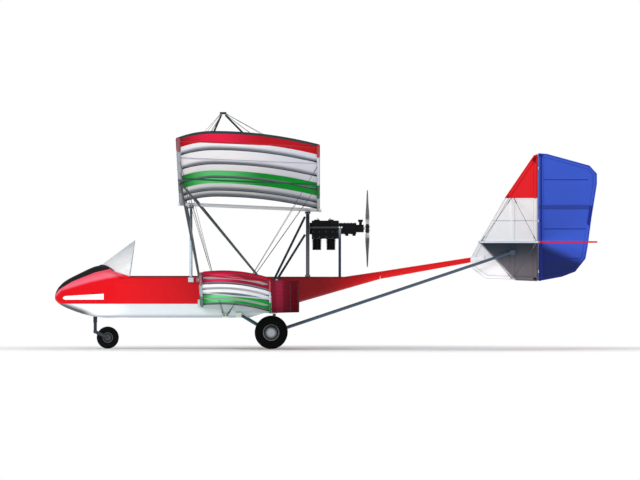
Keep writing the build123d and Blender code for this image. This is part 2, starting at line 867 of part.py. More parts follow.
kingpost_cap_half_length = 40
kingpost_cap_half_width = 16
kingpost_cap_half_height = 14
kingpost_spread = 19        # a leg's head stands this far from the cap's middle
kingpost_cap_low = kingpost_top[1] - kingpost_cap_half_height
with BuildPart() as kingpost:
    add(block((kingpost_top[0] - kingpost_cap_half_length, -kingpost_cap_half_width, kingpost_cap_low),
              (kingpost_top[0] + kingpost_cap_half_length, kingpost_cap_half_width,
               kingpost_top[1] + kingpost_cap_half_height)))
    # a foot's square end touches the keel's slope nearer to the middle, by this much
    for foot_x, touch, lean in zip(kingpost_feet_x, (kingpost_radius, -2 * kingpost_radius), (-1, 1)):
        seat = (foot_x, 0, keel_z(foot_x + touch) + keel_radius)
        head_x = kingpost_top[0] + lean * kingpost_spread
        add(strut(seat, (head_x, 0, kingpost_cap_low), kingpost_radius))
write(kingpost.part, "kingpost")

# Tail surfaces: a tube border with cross tubes, and one thin web that stands for the cloth
bar_reach = 900             # longer than any window, so that a bar spans it
fin_middle_x = 2200
rudder_middle_x = 2900
# outlines as points in X and Z
fin_outline = (
    (2530, 2352), (fin_rear_x, 2377), (fin_rear_x, 822), (1947, 847),
    (1779, 971), (1767, 1114), (stab_front_x, stab_z), (2178, fin_rib_z))
fin_corner_radius = 60
rudder_outline = (
    (rudder_axis_x, 2383), (2694, 2377), (3216, 2234), (3306, 2134), (3306, 2009),
    (3240, 1599), (3192, 1238), (3166, 1096), (3041, 939), (2879, 877), (rudder_axis_x, 826))


def covered_frame(plane, outline, border, thickness, bars, corners=(), corner_radius=0):
    """A flat frame along an outline, with bars across it and a web of cloth in its windows.

    Corners are the places of those that are rounded, and each bar is a centre, a width and a height.
    """
    with BuildSketch(plane) as whole:
        with BuildLine():
            Polyline(*outline, close=True)
        make_face()
        for place in corners:
            fillet(whole.vertices().sort_by_distance(place)[0], corner_radius)
    with BuildSketch(plane) as windows:
        add(whole.sketch)
        offset(amount=-border)
        for centre, width, height in bars:
            with Locations(centre):
                Rectangle(width, height, mode=Mode.SUBTRACT)
    with BuildPart() as pockets:
        for window in windows.sketch.faces():
            extrude(window, amount=thickness, both=True)
    face = whole.sketch.faces()[0]
    with BuildPart() as web:
        extrude(face, amount=cloth_thickness / 2, both=True)
    with BuildPart() as made:
        extrude(face, amount=thickness / 2, both=True)
        add(pockets.part, mode=Mode.SUBTRACT)
        add(web.part)
    return made.part


with BuildPart() as fin:
    post_high = (fin_rib_z + tail_wire_low_z) / 2
    add(covered_frame(
        Plane.XZ, fin_outline, fin_border, fin_thickness,
        bars=(
            ((fin_middle_x, fin_rib_z), bar_reach, fin_rib_depth),
            ((fin_middle_x, stab_z), bar_reach, stab_thickness + 12),
            ((fin_post_x, post_high), fin_post_width, fin_rib_z - tail_wire_low_z)),
        corners=(fin_outline[3], fin_outline[4], fin_outline[5], fin_outline[7]),
        corner_radius=fin_corner_radius))
    add(boom_cone(SEAT_GAP, extra=SEAT_GAP), mode=Mode.SUBTRACT)
    half_pin = hinge_lug_thickness / 2 + hinge_notch_gap + hinge_pin_length
    for z in rudder_lugs_z:
        with BuildSketch(Plane.XY.offset(z - hinge_lug_thickness / 2)):
            with Locations(((fin_rear_x + rudder_axis_x) / 2 - rudder_lug_radius, 0)):
                Rectangle(rudder_axis_x - fin_rear_x + 2 * rudder_lug_radius, 2 * rudder_lug_radius)
            with Locations((rudder_axis_x, 0)):
                Circle(rudder_lug_radius)
        extrude(amount=hinge_lug_thickness)
        add(rod((rudder_axis_x, 0, z - half_pin), (rudder_axis_x, 0, z + half_pin), hinge_pin_radius))
write(fin.part, "fin")

notch_half = hinge_lug_thickness / 2 + hinge_notch_gap
notch_reach = 40            # past both faces of the thickest moving surface
with BuildPart() as rudder:
    add(covered_frame(
        Plane.XZ, rudder_outline, rudder_border, rudder_thickness,
        bars=(((rudder_middle_x, rudder_rib_z), bar_reach, rudder_rib_depth),)))
    low, high = rudder_outline[-1][1], rudder_outline[0][1]
    add(rod((rudder_axis_x, 0, low), (rudder_axis_x, 0, high), rudder_nose_radius))
    add(rod((rudder_axis_x, 0, low), (rudder_axis_x, 0, high), hinge_pin_radius + PIN_GAP),
        mode=Mode.SUBTRACT)
    for z in rudder_lugs_z:
        add(block((rudder_axis_x - 2 * rudder_nose_radius, -notch_reach, z - notch_half),
                  (rudder_axis_x + rudder_nose_radius + 6, notch_reach, z + notch_half)),
            mode=Mode.SUBTRACT)
write(rudder.part, "rudder")

stab_root_y = fin_thickness / 2 + SEAT_GAP
LEVEL = Plane.XY.offset(stab_z)
with BuildPart() as stabilizer:
    add(covered_frame(
        LEVEL,
        ((stab_front_x, stab_root_y), (stab_front_x, stab_half_span),
         (stab_rear_x, stab_half_span), (stab_rear_x, stab_root_y)),
        stab_border, stab_thickness,
        bars=(((fin_middle_x, stab_rib_y), bar_reach, stab_border),),
        corners=((stab_front_x, stab_half_span),), corner_radius=stab_corner_radius))
    for y in elevator_lugs_y:
        with BuildSketch(Plane.XZ.offset(-(y - hinge_lug_thickness / 2))):
            with Locations(((stab_rear_x + elevator_axis_x) / 2 - elevator_lug_radius / 2, stab_z)):
                Rectangle(elevator_axis_x - stab_rear_x + elevator_lug_radius, 2 * elevator_lug_radius)
            with Locations((elevator_axis_x, stab_z)):
                Circle(elevator_lug_radius)
        extrude(amount=-hinge_lug_thickness)
        add(rod((elevator_axis_x, y - half_pin, stab_z), (elevator_axis_x, y + half_pin, stab_z),
                hinge_pin_radius))
write_pair(stabilizer.part, "stabilizer")

notch_slope = tan(radians(rudder_swing + 3))
notch_rear_y = elevator_inner_y + (elevator_rear_x - elevator_axis_x) * notch_slope
with BuildPart() as elevator:
    add(covered_frame(
        LEVEL,
        ((elevator_axis_x, elevator_inner_y), (elevator_axis_x, stab_half_span),
         (elevator_rear_x, stab_half_span), (elevator_rear_x, notch_rear_y)),
        elevator_border, elevator_thickness,
        bars=(((rudder_middle_x, elevator_lugs_y[1]), bar_reach, elevator_border),)))
    root, tip = (elevator_axis_x, elevator_inner_y, stab_z), (elevator_axis_x, stab_half_span, stab_z)
    add(rod(root, tip, elevator_nose_radius))
    add(rod(root, tip, hinge_pin_radius + PIN_GAP), mode=Mode.SUBTRACT)
    for y in elevator_lugs_y:
        add(block((elevator_axis_x - notch_reach, y - notch_half, stab_z - notch_reach),
                  (elevator_axis_x + elevator_nose_radius + 10, y + notch_half, stab_z + notch_reach)),
            mode=Mode.SUBTRACT)
write_pair(elevator.part, "elevator")

# Main stays: flying wires under the upper wing, landing wires from the kingpost, and the tail's wires
lug_half_length = 2 * wire_pitch + 4
with BuildPart() as flying_wires:
    for _, side in SIDES:
        for line in flying_fan(side, wire_radius):
            add(line)
write(flying_wires.part, "flying_wires")

with BuildPart() as landing_wires:
    for _, side in SIDES:
        root = (kingpost_top[0], kingpost_cap_half_width, kingpost_top[1])
        for line in wing_wires(side, root, landing_le_stations, landing_te_stations,
                               (landing_le_standoff, landing_te_standoff), wire_radius):
            add(line)
write(landing_wires.part, "landing_wires")

with BuildPart() as tail_wires:
    fin_face_y = fin_thickness / 2
    half = stab_thickness / 2
    for apex_z, seat_z in ((fin_rib_z, stab_z + half), (tail_wire_low_z, stab_z - half)):
        for shift, end_x in ((-wire_pitch, stab_front_x + tail_wire_inset),
                             (wire_pitch, stab_rear_x - tail_wire_inset)):
            add(strut((fin_post_x + shift, fin_face_y, apex_z), (end_x, tail_wire_y, seat_z),
                      wire_radius, (0, 1, 0), (0, 0, 1)))
    mirror(about=Plane.XZ)
write(tail_wires.part, "tail_wires")

# Engine, reduction drive and propeller
with BuildPart() as engine_block:
    add(block((case_front_x + starter_depth, -case_half_width, case_low_z),
              (case_rear_x, case_half_width, case_high_z)))
    fillet(engine_block.edges().filter_by(Axis.X), 14)
    add(rod((case_front_x, 0, shaft_z), (case_front_x + starter_depth, 0, shaft_z), starter_radius))
    for x in cylinder_centres_x:
        add(block((x - plug_cover_half_length, -plug_cover_half_width, case_high_z),
                  (x + plug_cover_half_length, plug_cover_half_width, case_high_z + plug_cover_height)))
write(engine_block.part, "engine_block")

with BuildPart() as engine_cylinders:
    top = case_low_z - SEAT_GAP
    pitch = (top - cylinder_low_z - head_depth) / fin_count
    for x in cylinder_centres_x:
        core = rod((x, 0, cylinder_low_z + head_depth), (x, 0, top), cylinder_radius - fin_depth)
        with BuildPart() as head:
            add(rod((x, 0, cylinder_low_z), (x, 0, cylinder_low_z + head_depth),
                    cylinder_radius - cylinder_taper))
            fillet(head.edges().group_by(Axis.Z)[0], head_radius)
        add(core)
        add(head.part)
        for step in range(fin_count):
            low = cylinder_low_z + head_depth + (step + 0.5) * pitch
            radius = cylinder_radius - cylinder_taper * (1 - (step + 1) / fin_count)
            add(rod((x, 0, low), (x, 0, low + pitch / 2), radius))
write(engine_cylinders.part, "engine_cylinders")

gearbox_front = case_rear_x + SEAT_GAP
with BuildPart() as gearbox:
    for start, end, radius in (
            (gearbox_front, housing_rear_x, housing_radius),
            (housing_rear_x, nose_case_rear_x, nose_case_radius)):
        add(rod((start, 0, shaft_z), (end, 0, shaft_z), radius))
    for place in range(housing_ribs):
        x = gearbox_front + (place + 0.5) * (housing_rear_x - gearbox_front) / housing_ribs
        add(rod((x, 0, shaft_z), (x + housing_rib_width, 0, shaft_z), housing_radius + housing_rib_height))
    for x in drain_bosses_x:
        add(rod((x, 0, shaft_z - housing_radius - drain_boss_drop), (x, 0, shaft_z), drain_boss_radius))
    add(rod((filler_x, 0, shaft_z), (filler_x, 0, filler_cap_z), filler_radius))
    add(rod((filler_x, 0, filler_cap_z), (filler_x, 0, filler_cap_z + filler_cap_height), filler_cap_radius))
    add(rod((nose_case_rear_x - shaft_bore_depth, 0, shaft_z), (nose_case_rear_x, 0, shaft_z),
            shaft_radius + PIN_GAP), mode=Mode.SUBTRACT)
write(gearbox.part, "gearbox")

with BuildPart() as engine_bearers:
    start_x = cabane_rear_x + cabane_rear_radius + SEAT_GAP
    for _, side in SIDES:
        add(rod((start_x, side * bearer_y, bearer_z), (engine_support_x + 40, side * bearer_y, bearer_z),
                bearer_radius))
write(engine_bearers.part, "engine_bearers")

with BuildPart() as engine_supports:
    for _, side in SIDES:
        add(rod((engine_support_x, side * bearer_y, deck_z + SEAT_GAP),
                (engine_support_x, side * bearer_y, bearer_z - bearer_radius - SEAT_GAP),
                engine_support_radius))
write(engine_supports.part, "engine_supports")

# columns: distance from the axis, chord, thickness, twist from the disc's plane
blade_sections = ((30, 46, 26, 40), (150, 92, 20, 30), (320, 82, 13, 17), (470, 46, 8, 11))


def blade(turn):
    """One twisted blade, up for turn 1 and down for turn -1."""
    with BuildPart() as made:
        for out, chord, thick, twist in blade_sections:
            lean = radians(twist)
            plane = Plane(origin=(propeller_x, 0, shaft_z + turn * out),
                          x_dir=(sin(lean), turn * cos(lean), 0), z_dir=(0, 0, turn))
            with BuildSketch(plane):
                Ellipse(chord / 2, thick / 2)
        loft()
    return made.part


with BuildPart() as propeller:
    add(rod((propeller_x - hub_half_length, 0, shaft_z), (propeller_x + hub_half_length, 0, shaft_z),
            boss_radius))
    for turn in (-1, 1):
        add(blade(turn))
    add(rod((propeller_x - boss_radius, 0, shaft_z), (propeller_x + boss_radius, 0, shaft_z),
            shaft_radius + PIN_GAP), mode=Mode.SUBTRACT)
write(propeller.part, "propeller")

with BuildPart() as propeller_shaft:
    hub_front = propeller_x - hub_half_length
    hub_rear = propeller_x + hub_half_length
    end_x = hub_rear + flange_thickness
    add(rod((nose_case_rear_x - shaft_bore_depth + 2, 0, shaft_z), (end_x, 0, shaft_z), shaft_radius))
    add(rod((hub_front - flange_thickness, 0, shaft_z), (hub_front - SEAT_GAP, 0, shaft_z), flange_radius))
    add(rod((hub_rear + SEAT_GAP, 0, shaft_z), (end_x, 0, shaft_z), flange_radius))
write(propeller_shaft.part, "propeller_shaft")

# Main landing gear
beam_half = half_track - hub_half_width - 4
with BuildPart() as axle_beam:
    add(rod((axle_x, -beam_half, main_tyre_radius), (axle_x, beam_half, main_tyre_radius),
            axle_beam_radius))
    stub_end = half_track + hub_half_width - 12
    add(rod((axle_x, -stub_end, main_tyre_radius), (axle_x, stub_end, main_tyre_radius), axle_radius))
    for _, side in SIDES:
        with BuildSketch(Plane.YZ.offset(axle_x - tie_down_thickness / 2)):
            with Locations((side * tie_down_y, main_tyre_radius - tie_down_drop / 2)):
                Rectangle(2 * tie_down_outer, tie_down_drop)
            with Locations((side * tie_down_y, main_tyre_radius - tie_down_drop)):
                Circle(tie_down_outer)
                Circle(tie_down_radius, mode=Mode.SUBTRACT)
        extrude(amount=tie_down_thickness)
write(axle_beam.part, "axle_beam")

with BuildPart() as pod_clearance:
    add(body(tub_sections, ruled=True, inset=-SEAT_GAP))

gear_front_x = -1066
gear_rear_x = -627
gear_front_seat = (316, 408)    # Y and Z where a front strut meets its bracket
gear_rear_seat_y = 272
# each bracket's lowest and highest corner, before the pod is cut out of it
front_bracket = ((gear_front_x - 35, 240, 380), (gear_front_x + 35, 345, 440))
rear_bracket = ((gear_rear_x - 35, 228, 428), (gear_rear_x + 33, 318, 500))
wire_lug = ((wire_lug_x - lug_half_length, 262, wire_lug_z - 14),
            (wire_lug_x + lug_half_length, wire_lug_face_y, wire_lug_z + 32))
with BuildPart() as gear_brackets:
    for low, high in (front_bracket, rear_bracket, wire_lug):
        add(block(low, high))
    add(pod_clearance.part, mode=Mode.SUBTRACT)
    mirror(about=Plane.XZ)
write(gear_brackets.part, "gear_brackets")

front_seat = (front_bracket[1][0], *gear_front_seat)
rear_seat = (gear_rear_x, gear_rear_seat_y, rear_bracket[0][2])
with BuildPart() as gear_struts:
    add(strut((axle_x - axle_beam_radius, gear_front_y, main_tyre_radius), front_seat,
              gear_front_radius, (1, 0, 0), (1, 0, 0)))
    add(strut((axle_x, gear_rear_y, main_tyre_radius + axle_beam_radius), rear_seat, gear_rear_radius))
    mirror(about=Plane.XZ)
write(gear_struts.part, "gear_struts")

fin_side = fin_thickness / 2 + SEAT_GAP
end_length, end_width, end_height = tail_brace_pad
pad_front = fin_post_x - end_length / 2
with BuildPart() as tail_braces:
    add(block((pad_front, fin_side, tail_brace_end_z - end_height / 2),
              (pad_front + end_length, fin_side + end_width, tail_brace_end_z + end_height / 2)))
    ends = ((axle_x + axle_beam_radius, tail_brace_y, main_tyre_radius),
            (pad_front, fin_side + end_width / 2, tail_brace_end_z))
    square = (1, 0, 0)
    add(strut(*ends, tail_brace_radius, square, square))
    add(rod(*ends, tail_brace_radius - tail_brace_wall), mode=Mode.SUBTRACT)
    mirror(about=Plane.XZ)
write(tail_braces.part, "tail_braces")


def wheel_rim(rim_radius, half_width, boss, bore_radius, bore_depth):
    """A dished rim turned about Y, with an inner boss and a domed outer face, bored from the inner side."""
    with BuildPart() as made:
        with BuildSketch(Plane.XY):
            with BuildLine():
                Polyline(
                    (0, -half_width), (boss, -half_width), (boss, -half_width + 14),
                    (rim_radius - 12, -half_width + 20), (rim_radius, -half_width + 4),
                    (rim_radius, half_width - 16), (rim_radius - 14, half_width - 8),
                    (rim_radius * 0.5, half_width + 2), (0, half_width + 6), close=True)
            make_face()
        revolve(axis=Axis.Y)
        add(rod((0, -half_width - 1, 0), (0, bore_depth, 0), bore_radius), mode=Mode.SUBTRACT)
    return made.part


def tyre(inner, outer, half_width, corner):
    """A rounded tyre about the Y axis."""
    with BuildPart() as made:
        with BuildSketch(Plane.XY) as cut:
            with Locations(((inner + outer) / 2, 0)):
                Rectangle(outer - inner, 2 * half_width)
            fillet(cut.vertices().group_by(Axis.X)[-1], corner)
            fillet(cut.vertices().group_by(Axis.X)[0], 10)
        revolve(axis=Axis.Y)
    return made.part


main_rim = wheel_rim(main_rim_radius, hub_half_width, main_boss_radius, axle_radius + PIN_GAP,
                     hub_half_width - 10)
main_tyre = tyre(main_rim_radius + SEAT_GAP, main_tyre_radius, main_tyre_half_width, main_tyre_corner)
for name, side in SIDES:
    spot = Location((axle_x, side * half_track, main_tyre_radius), (0, 0, 0 if side > 0 else 180))
    write(main_rim.moved(spot), f"main_rim_{name}")
    write(main_tyre.moved(spot), f"main_tyre_{name}")

# Nose gear
with BuildPart() as nose_clearance:
    add(body(nose_sections, ruled=False, inset=-SEAT_GAP))

with BuildPart() as nose_leg:
    add(rod((nose_leg_x, 0, nose_leg_low_z), (nose_leg_x, 0, pod_seam_z), nose_leg_radius))
    add(nose_clearance.part, mode=Mode.SUBTRACT)
    add(pod_clearance.part, mode=Mode.SUBTRACT)
    add(rod((nose_leg_x, 0, nose_leg_low_z), (nose_leg_x, 0, nose_leg_low_z + nose_pin_length + 2),
            nose_pin_radius + PIN_GAP), mode=Mode.SUBTRACT)
write(nose_leg.part, "nose_leg")

with BuildPart() as nose_fork:
    add(rod((nose_leg_x, 0, nose_stem_low_z), (nose_leg_x, 0, nose_leg_low_z - SEAT_GAP), nose_stem_radius))
    add(rod((nose_leg_x, 0, nose_leg_low_z - 5), (nose_leg_x, 0, nose_leg_low_z + nose_pin_length),
            nose_pin_radius))
    arm_out = nose_arm_y + nose_arm_thickness / 2
    add(block((nose_leg_x - crown_half_length, -arm_out, crown_z - crown_height / 2),
              (nose_leg_x + crown_half_length, arm_out, crown_z + crown_height / 2)))
    for y in (-nose_arm_y, nose_arm_y):
        with BuildSketch(Plane.XZ.offset(-(y - nose_arm_thickness / 2))):
            with Locations((nose_leg_x, crown_z)):
                Circle(nose_arm_top_radius)
            with Locations((nose_axle_x, nose_tyre_radius)):
                Circle(nose_arm_end_radius)
            make_hull()
        extrude(amount=-nose_arm_thickness)
    for half, radius in ((arm_out, nose_axle_radius), (arm_out + tow_pin_length, tow_pin_radius)):
        add(rod((nose_axle_x, -half, nose_tyre_radius), (nose_axle_x, half, nose_tyre_radius), radius))
write(nose_fork.part, "nose_fork")

with BuildPart() as nose_rim:
    with Locations(Location((nose_axle_x, 0, nose_tyre_radius), (90, 0, 0))):
        Cylinder(nose_rim_radius, 2 * nose_tyre_half_width - 8)
        Cylinder(nose_boss_radius, 2 * nose_hub_half_width)
        Cylinder(nose_axle_radius + PIN_GAP, 4 * nose_hub_half_width, mode=Mode.SUBTRACT)
write(nose_rim.part, "nose_rim")

nose_tyre = tyre(nose_rim_radius + SEAT_GAP, nose_tyre_radius, nose_tyre_half_width, nose_tyre_corner)
write(nose_tyre.moved(Location((nose_axle_x, 0, nose_tyre_radius))), "nose_tyre")
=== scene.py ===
import math
from collections import namedtuple

import bmesh
import bpy
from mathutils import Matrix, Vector
from mathutils.bvhtree import BVHTree


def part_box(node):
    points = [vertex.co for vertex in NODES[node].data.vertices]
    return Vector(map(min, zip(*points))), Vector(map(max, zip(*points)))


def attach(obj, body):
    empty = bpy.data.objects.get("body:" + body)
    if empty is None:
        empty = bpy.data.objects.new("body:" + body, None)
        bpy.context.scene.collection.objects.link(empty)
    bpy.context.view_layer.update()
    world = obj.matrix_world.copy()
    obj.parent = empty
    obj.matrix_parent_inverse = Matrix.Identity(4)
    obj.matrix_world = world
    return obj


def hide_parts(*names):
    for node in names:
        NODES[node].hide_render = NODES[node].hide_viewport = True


# A tandem pusher biplane ultralight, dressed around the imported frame. Metres.
# X runs aft from the nose, Y to the right wing, Z up.

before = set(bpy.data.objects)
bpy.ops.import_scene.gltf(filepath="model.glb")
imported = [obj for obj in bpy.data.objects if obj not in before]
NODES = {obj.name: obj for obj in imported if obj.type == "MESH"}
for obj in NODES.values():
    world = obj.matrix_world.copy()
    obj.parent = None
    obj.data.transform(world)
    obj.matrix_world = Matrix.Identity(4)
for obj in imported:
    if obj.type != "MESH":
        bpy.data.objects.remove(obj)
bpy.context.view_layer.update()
AIRFRAME = "airframe"
SIDES = (("left", -1), ("right", 1))


# Mesh helpers

def made_of(name, build, material, body, sharp=35):
    """A smooth piece that rides on a body, its mesh filled by a function. Edges past an angle stay hard."""
    shape = bmesh.new()
    build(shape)
    bmesh.ops.recalc_face_normals(shape, faces=shape.faces)
    shape.normal_update()
    limit = math.radians(sharp)
    for edge in shape.edges:
        edge.smooth = len(edge.link_faces) == 2 and edge.calc_face_angle(0) < limit
    for face in shape.faces:
        face.smooth = True
    mesh = bpy.data.meshes.new(name)
    shape.to_mesh(mesh)
    shape.free()
    mesh.materials.append(material)
    piece = bpy.data.objects.new(name, mesh)
    bpy.context.scene.collection.objects.link(piece)
    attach(piece, body)
    return piece


def add_ring(shape, centre, across, up, radius, sides):
    """A ring of vertices about a centre."""
    turn = 2 * math.pi / sides
    return [
        shape.verts.new(centre + across * (radius * math.cos(i * turn)) + up * (radius * math.sin(i * turn)))
        for i in range(sides)]


def join_rings(shape, rings, closed=False):
    """Faces between rings of vertices, with the last ring joined to the first or both ends capped."""
    pairs = list(zip(rings, rings[1:]))
    if closed:
        pairs.append((rings[-1], rings[0]))
    for low, high in pairs:
        for i in range(len(low)):
            j = (i + 1) % len(low)
            shape.faces.new((low[i], low[j], high[j], high[i]))
    if not closed:
        shape.faces.new(rings[0][::-1])
        shape.faces.new(rings[-1])


def cross_axes(way):
    """Two unit directions across a direction."""
    helper = Vector((0, 0, 1)) if abs(way.z) < 0.9 else Vector((1, 0, 0))
    across = way.cross(helper).normalized()
    return across, way.cross(across).normalized()


def add_tube(shape, points, radii, sides=12):
    """A round tube along points, with one radius or a radius at each, closed at both ends."""
    points = [Vector(p) for p in points]
    if isinstance(radii, float):
        radii = [radii] * len(points)
    rings = []
    across = cross_axes((points[1] - points[0]).normalized())[0]
    for i, point in enumerate(points):
        before = points[max(i - 1, 0)]
        after = points[min(i + 1, len(points) - 1)]
        way = (after - before).normalized()
        across = (across - way * across.dot(way)).normalized()
        rings.append(add_ring(shape, point, across, way.cross(across), radii[i], sides))
    join_rings(shape, rings)


def add_turned(shape, origin, axis, profile, sides=24, loop=False):
    """A solid of revolution from (distance along the axis, radius) pairs, or a ring where it loops."""
    axis = Vector(axis).normalized()
    across, up = cross_axes(axis)
    rings = [
        add_ring(shape, Vector(origin) + axis * along, across, up, max(radius, 1e-5), sides)
        for along, radius in profile]
    join_rings(shape, rings, closed=loop)


def add_block(shape, low, high):
    """A box from corner to corner."""
    size = [abs(b - a) for a, b in zip(low, high)]
    middle = [(a + b) / 2 for a, b in zip(low, high)]
    made = bmesh.ops.create_cube(shape, size=1.0)
    bmesh.ops.scale(shape, vec=size, verts=made["verts"])
    bmesh.ops.translate(shape, vec=middle, verts=made["verts"])


def bevel(piece, width, segments=2):
    """Rounds a piece's edges."""
    change = piece.modifiers.new("bevel", "BEVEL")
    change.width = width
    change.segments = segments
    change.limit_method = "ANGLE"


def strip(name, rows, width_way, half_width, height_way, height, material, body):
    """A flat raised band that follows a line of points."""
    across = Vector(width_way).normalized() * half_width
    up = Vector(height_way).normalized() * height

    def build(shape):
        rings = []
        for row in rows:
            point = Vector(row)
            rings.append([shape.verts.new(point + move) for move in (
                -across, -across * 0.8 + up, across * 0.8 + up, across)])
        join_rings(shape, rings)
    return made_of(name, build, material, body)


# le_x, le_z and root_y place the front of the root. Drop is how much lower the trailing tube lies, crest the
# section's highest point, tube and te_tube the tubes' radii, start where the cloth begins along the span,
# ribs their places as shares of the half span, and rib_shade how far the painted shade of a pocket reaches
# beyond a rib.
Wing = namedtuple(
    "Wing", "le_x le_z root_y dihedral chord drop crest tube te_tube half_span start "
            "ribs rib_size rib_shade sag tail_wrap")
UPPER = Wing(-1.785, 1.764, 0.0, math.radians(8.6), 1.706, 0.076, (0.442, 0.105), 0.024, 0.016, 5.050, 0.048,
             (0.02, 0.115, 0.314, 0.527, 0.745, 0.996), 0.018, 0.05, 0.007, True)
LOWER = Wing(-1.527, 0.526, 0.334, math.radians(8.1), 0.862, 0.082, (0.250, 0.034), 0.017, 0.012, 2.760, 0.0,
             (0.02, 0.167, 0.333, 0.5, 0.667, 0.833, 0.994), 0.014, 0.03, 0.004, False)


# Materials

class Shader:
    """A node material built a step at a time."""

    def __init__(self, name):
        self.material = bpy.data.materials.new(name)
        self.material.use_nodes = True
        self.tree = self.material.node_tree
        self.bsdf = self.tree.nodes["Principled BSDF"]
        self.place = self.tree.nodes.new("ShaderNodeTexCoord").outputs["Object"]

    def node(self, kind, **inputs):
        made = self.tree.nodes.new("ShaderNode" + kind)
        for key, value in inputs.items():
            self.set(made.inputs[key.replace("_", " ")], value)
        return made

    def set(self, socket, value):
        if isinstance(value, bpy.types.NodeSocket):
            self.tree.links.new(value, socket)
        else:
            socket.default_value = value

    def math(self, operation, a, b=0.0, c=0.0):
        made = self.tree.nodes.new("ShaderNodeMath")
        made.operation = operation
        for socket, value in zip(made.inputs, (a, b, c)):
            self.set(socket, value)
        return made.outputs[0]

    def times(self, *values):
        """The product of several values."""
        total = values[0]
        for value in values[1:]:
            total = self.math("MULTIPLY", total, value)
        return total

    def add(self, a, b):
        return self.math("ADD", a, b)

    def minus(self, a, b):
        return self.math("SUBTRACT", a, b)

    def over(self, value, limit):
        """1 where a value is over a limit, else 0."""
        return self.math("GREATER_THAN", value, limit)

    def below(self, value, limit):
        """1 where a value is under a limit, else 0."""
        return self.math("LESS_THAN", value, limit)

    def mix(self, factor, a, b):
        made = self.tree.nodes.new("ShaderNodeMix")
        made.data_type = "RGBA"
        self.set(made.inputs[0], factor)
        self.set(made.inputs[6], a)
        self.set(made.inputs[7], b)
        return made.outputs[2]

    def axes(self):
        made = self.node("SeparateXYZ", Vector=self.place)
        return made.outputs[0], made.outputs[1], made.outputs[2]

    def faces_down(self):
        """1 on surfaces that look down, 0 on those that look up."""
        normal = self.tree.nodes.new("ShaderNodeNewGeometry").outputs["Normal"]
        made = self.node("SeparateXYZ", Vector=normal)
        return self.ramp(made.outputs[2], 0.05, -0.05)

    def noise(self, scale, detail=3.0):
        made = self.node("TexNoise", Vector=self.place, Scale=scale, Detail=detail)
        return made.outputs["Fac"]

    def spread(self, value, low, high):
        """Takes a value of 0 to 1 to a range."""
        made = self.node("MapRange", Value=value, To_Min=low, To_Max=high)
        return made.outputs[0]

    def ramp(self, value, start, end):
        """0 at start and 1 at end, smooth and held outside."""
        made = self.node("MapRange", Value=value, From_Min=start, From_Max=end)
        made.interpolation_type = "SMOOTHSTEP"
        return made.outputs[0]

    def line(self, value, start, end):
        """The straight line through two points, at a value."""
        slope = (end[1] - start[1]) / (end[0] - start[0])
        return self.add(self.times(self.minus(value, start[0]), slope), start[1])

    def distance(self, a, b):
        """The length of a side along two axes."""
        return self.math("SQRT", self.add(self.times(a, a), self.times(b, b)))

    def orange_peel(self):
        """The faint ripple of sprayed paint."""
        self.bump(self.noise(260.0, 1.0), 0.04, 0.0004)

    def bump(self, height, strength, distance):
        made = self.node("Bump", Height=height, Strength=strength, Distance=distance)
        self.set(self.bsdf.inputs["Normal"], made.outputs[0])

    def finish(self, color, rough, metallic=0.0, coat=0.0, sheen=0.0, specular=0.12):
        self.set(self.bsdf.inputs["Base Color"], color)
        self.bsdf.inputs["Specular IOR Level"].default_value = specular
        self.set(self.bsdf.inputs["Roughness"], rough)
        self.bsdf.inputs["Metallic"].default_value = metallic
        self.bsdf.inputs["Coat Weight"].default_value = coat
        self.bsdf.inputs["Sheen Weight"].default_value = sheen
        return self.material


def rgba(r, g, b):
    return (r, g, b, 1.0)


def shade(color, by):
    """A colour made lighter or darker."""
    return (min(color[0] * by, 1), min(color[1] * by, 1), min(color[2] * by, 1), 1.0)


def varied(shader, color, amount, scale):
    """A colour with soft cloudy variation over the surface."""
    return shader.mix(shader.noise(scale), shade(color, 1 - amount), shade(color, 1 + amount))


def paint(name, color, rough=0.28, coat=0.05, amount=0.05):
    """Gloss paint with faint variation and orange peel."""
    s = Shader(name)
    s.orange_peel()
    patchy = s.spread(s.noise(14.0), rough - 0.06, rough + 0.08)
    return s.finish(varied(s, color, amount, 3.0), patchy, coat=coat)


def metal(name, color, rough=0.38, metallic=0.85, amount=0.08):
    """Tube or cast metal with fine grain."""
    s = Shader(name)
    s.bump(s.noise(420.0, 2.0), 0.08, 0.0003)
    patchy = s.spread(s.noise(30.0), rough - 0.08, rough + 0.12)
    return s.finish(varied(s, color, amount, 9.0), patchy, metallic)


def rubber(name, color):
    """Tyre rubber with dusty patches."""
    s = Shader(name)
    s.bump(s.noise(300.0, 3.0), 0.25, 0.0006)
    dusty = s.mix(s.spread(s.noise(12.0), 0.0, 0.12), color, rgba(0.03, 0.029, 0.028))
    return s.finish(dusty, s.spread(s.noise(40.0), 0.62, 0.85), specular=0.03)


WEAVE_PITCH = 0.0016


def weave(shader, pitch=WEAVE_PITCH):
    """The height of a plain weave, from two crossed waves."""
    turns = 2 * math.pi / pitch
    x, y, z = shader.axes()
    warp = shader.math("SINE", shader.times(x, turns))
    weft = shader.math("SINE", shader.times(shader.add(y, z), turns))
    return shader.add(shader.times(warp, 0.25), shader.times(weft, 0.25))


def cloth(name, color, rough=0.62, pitch=WEAVE_PITCH, sheen=0.02, specular=0.08):
    """Plain woven cloth."""
    s = Shader(name)
    s.bump(s.add(weave(s, pitch), s.noise(5.0)), 0.35, 0.0006)
    patchy = s.spread(s.noise(50.0), rough - 0.06, rough + 0.1)
    return s.finish(varied(s, color, 0.07, 4.0), patchy, sheen=sheen, specular=specular)


def as_tail_cloth(shader, tone):
    """Finishes a material as the stretched cloth of the fin and the rudder."""
    shader.bump(shader.add(weave(shader), shader.noise(4.0)), 0.3, 0.0006)
    return shader.finish(tone, shader.spread(shader.noise(40.0), 0.35, 0.5), sheen=0.02, specular=0.06)


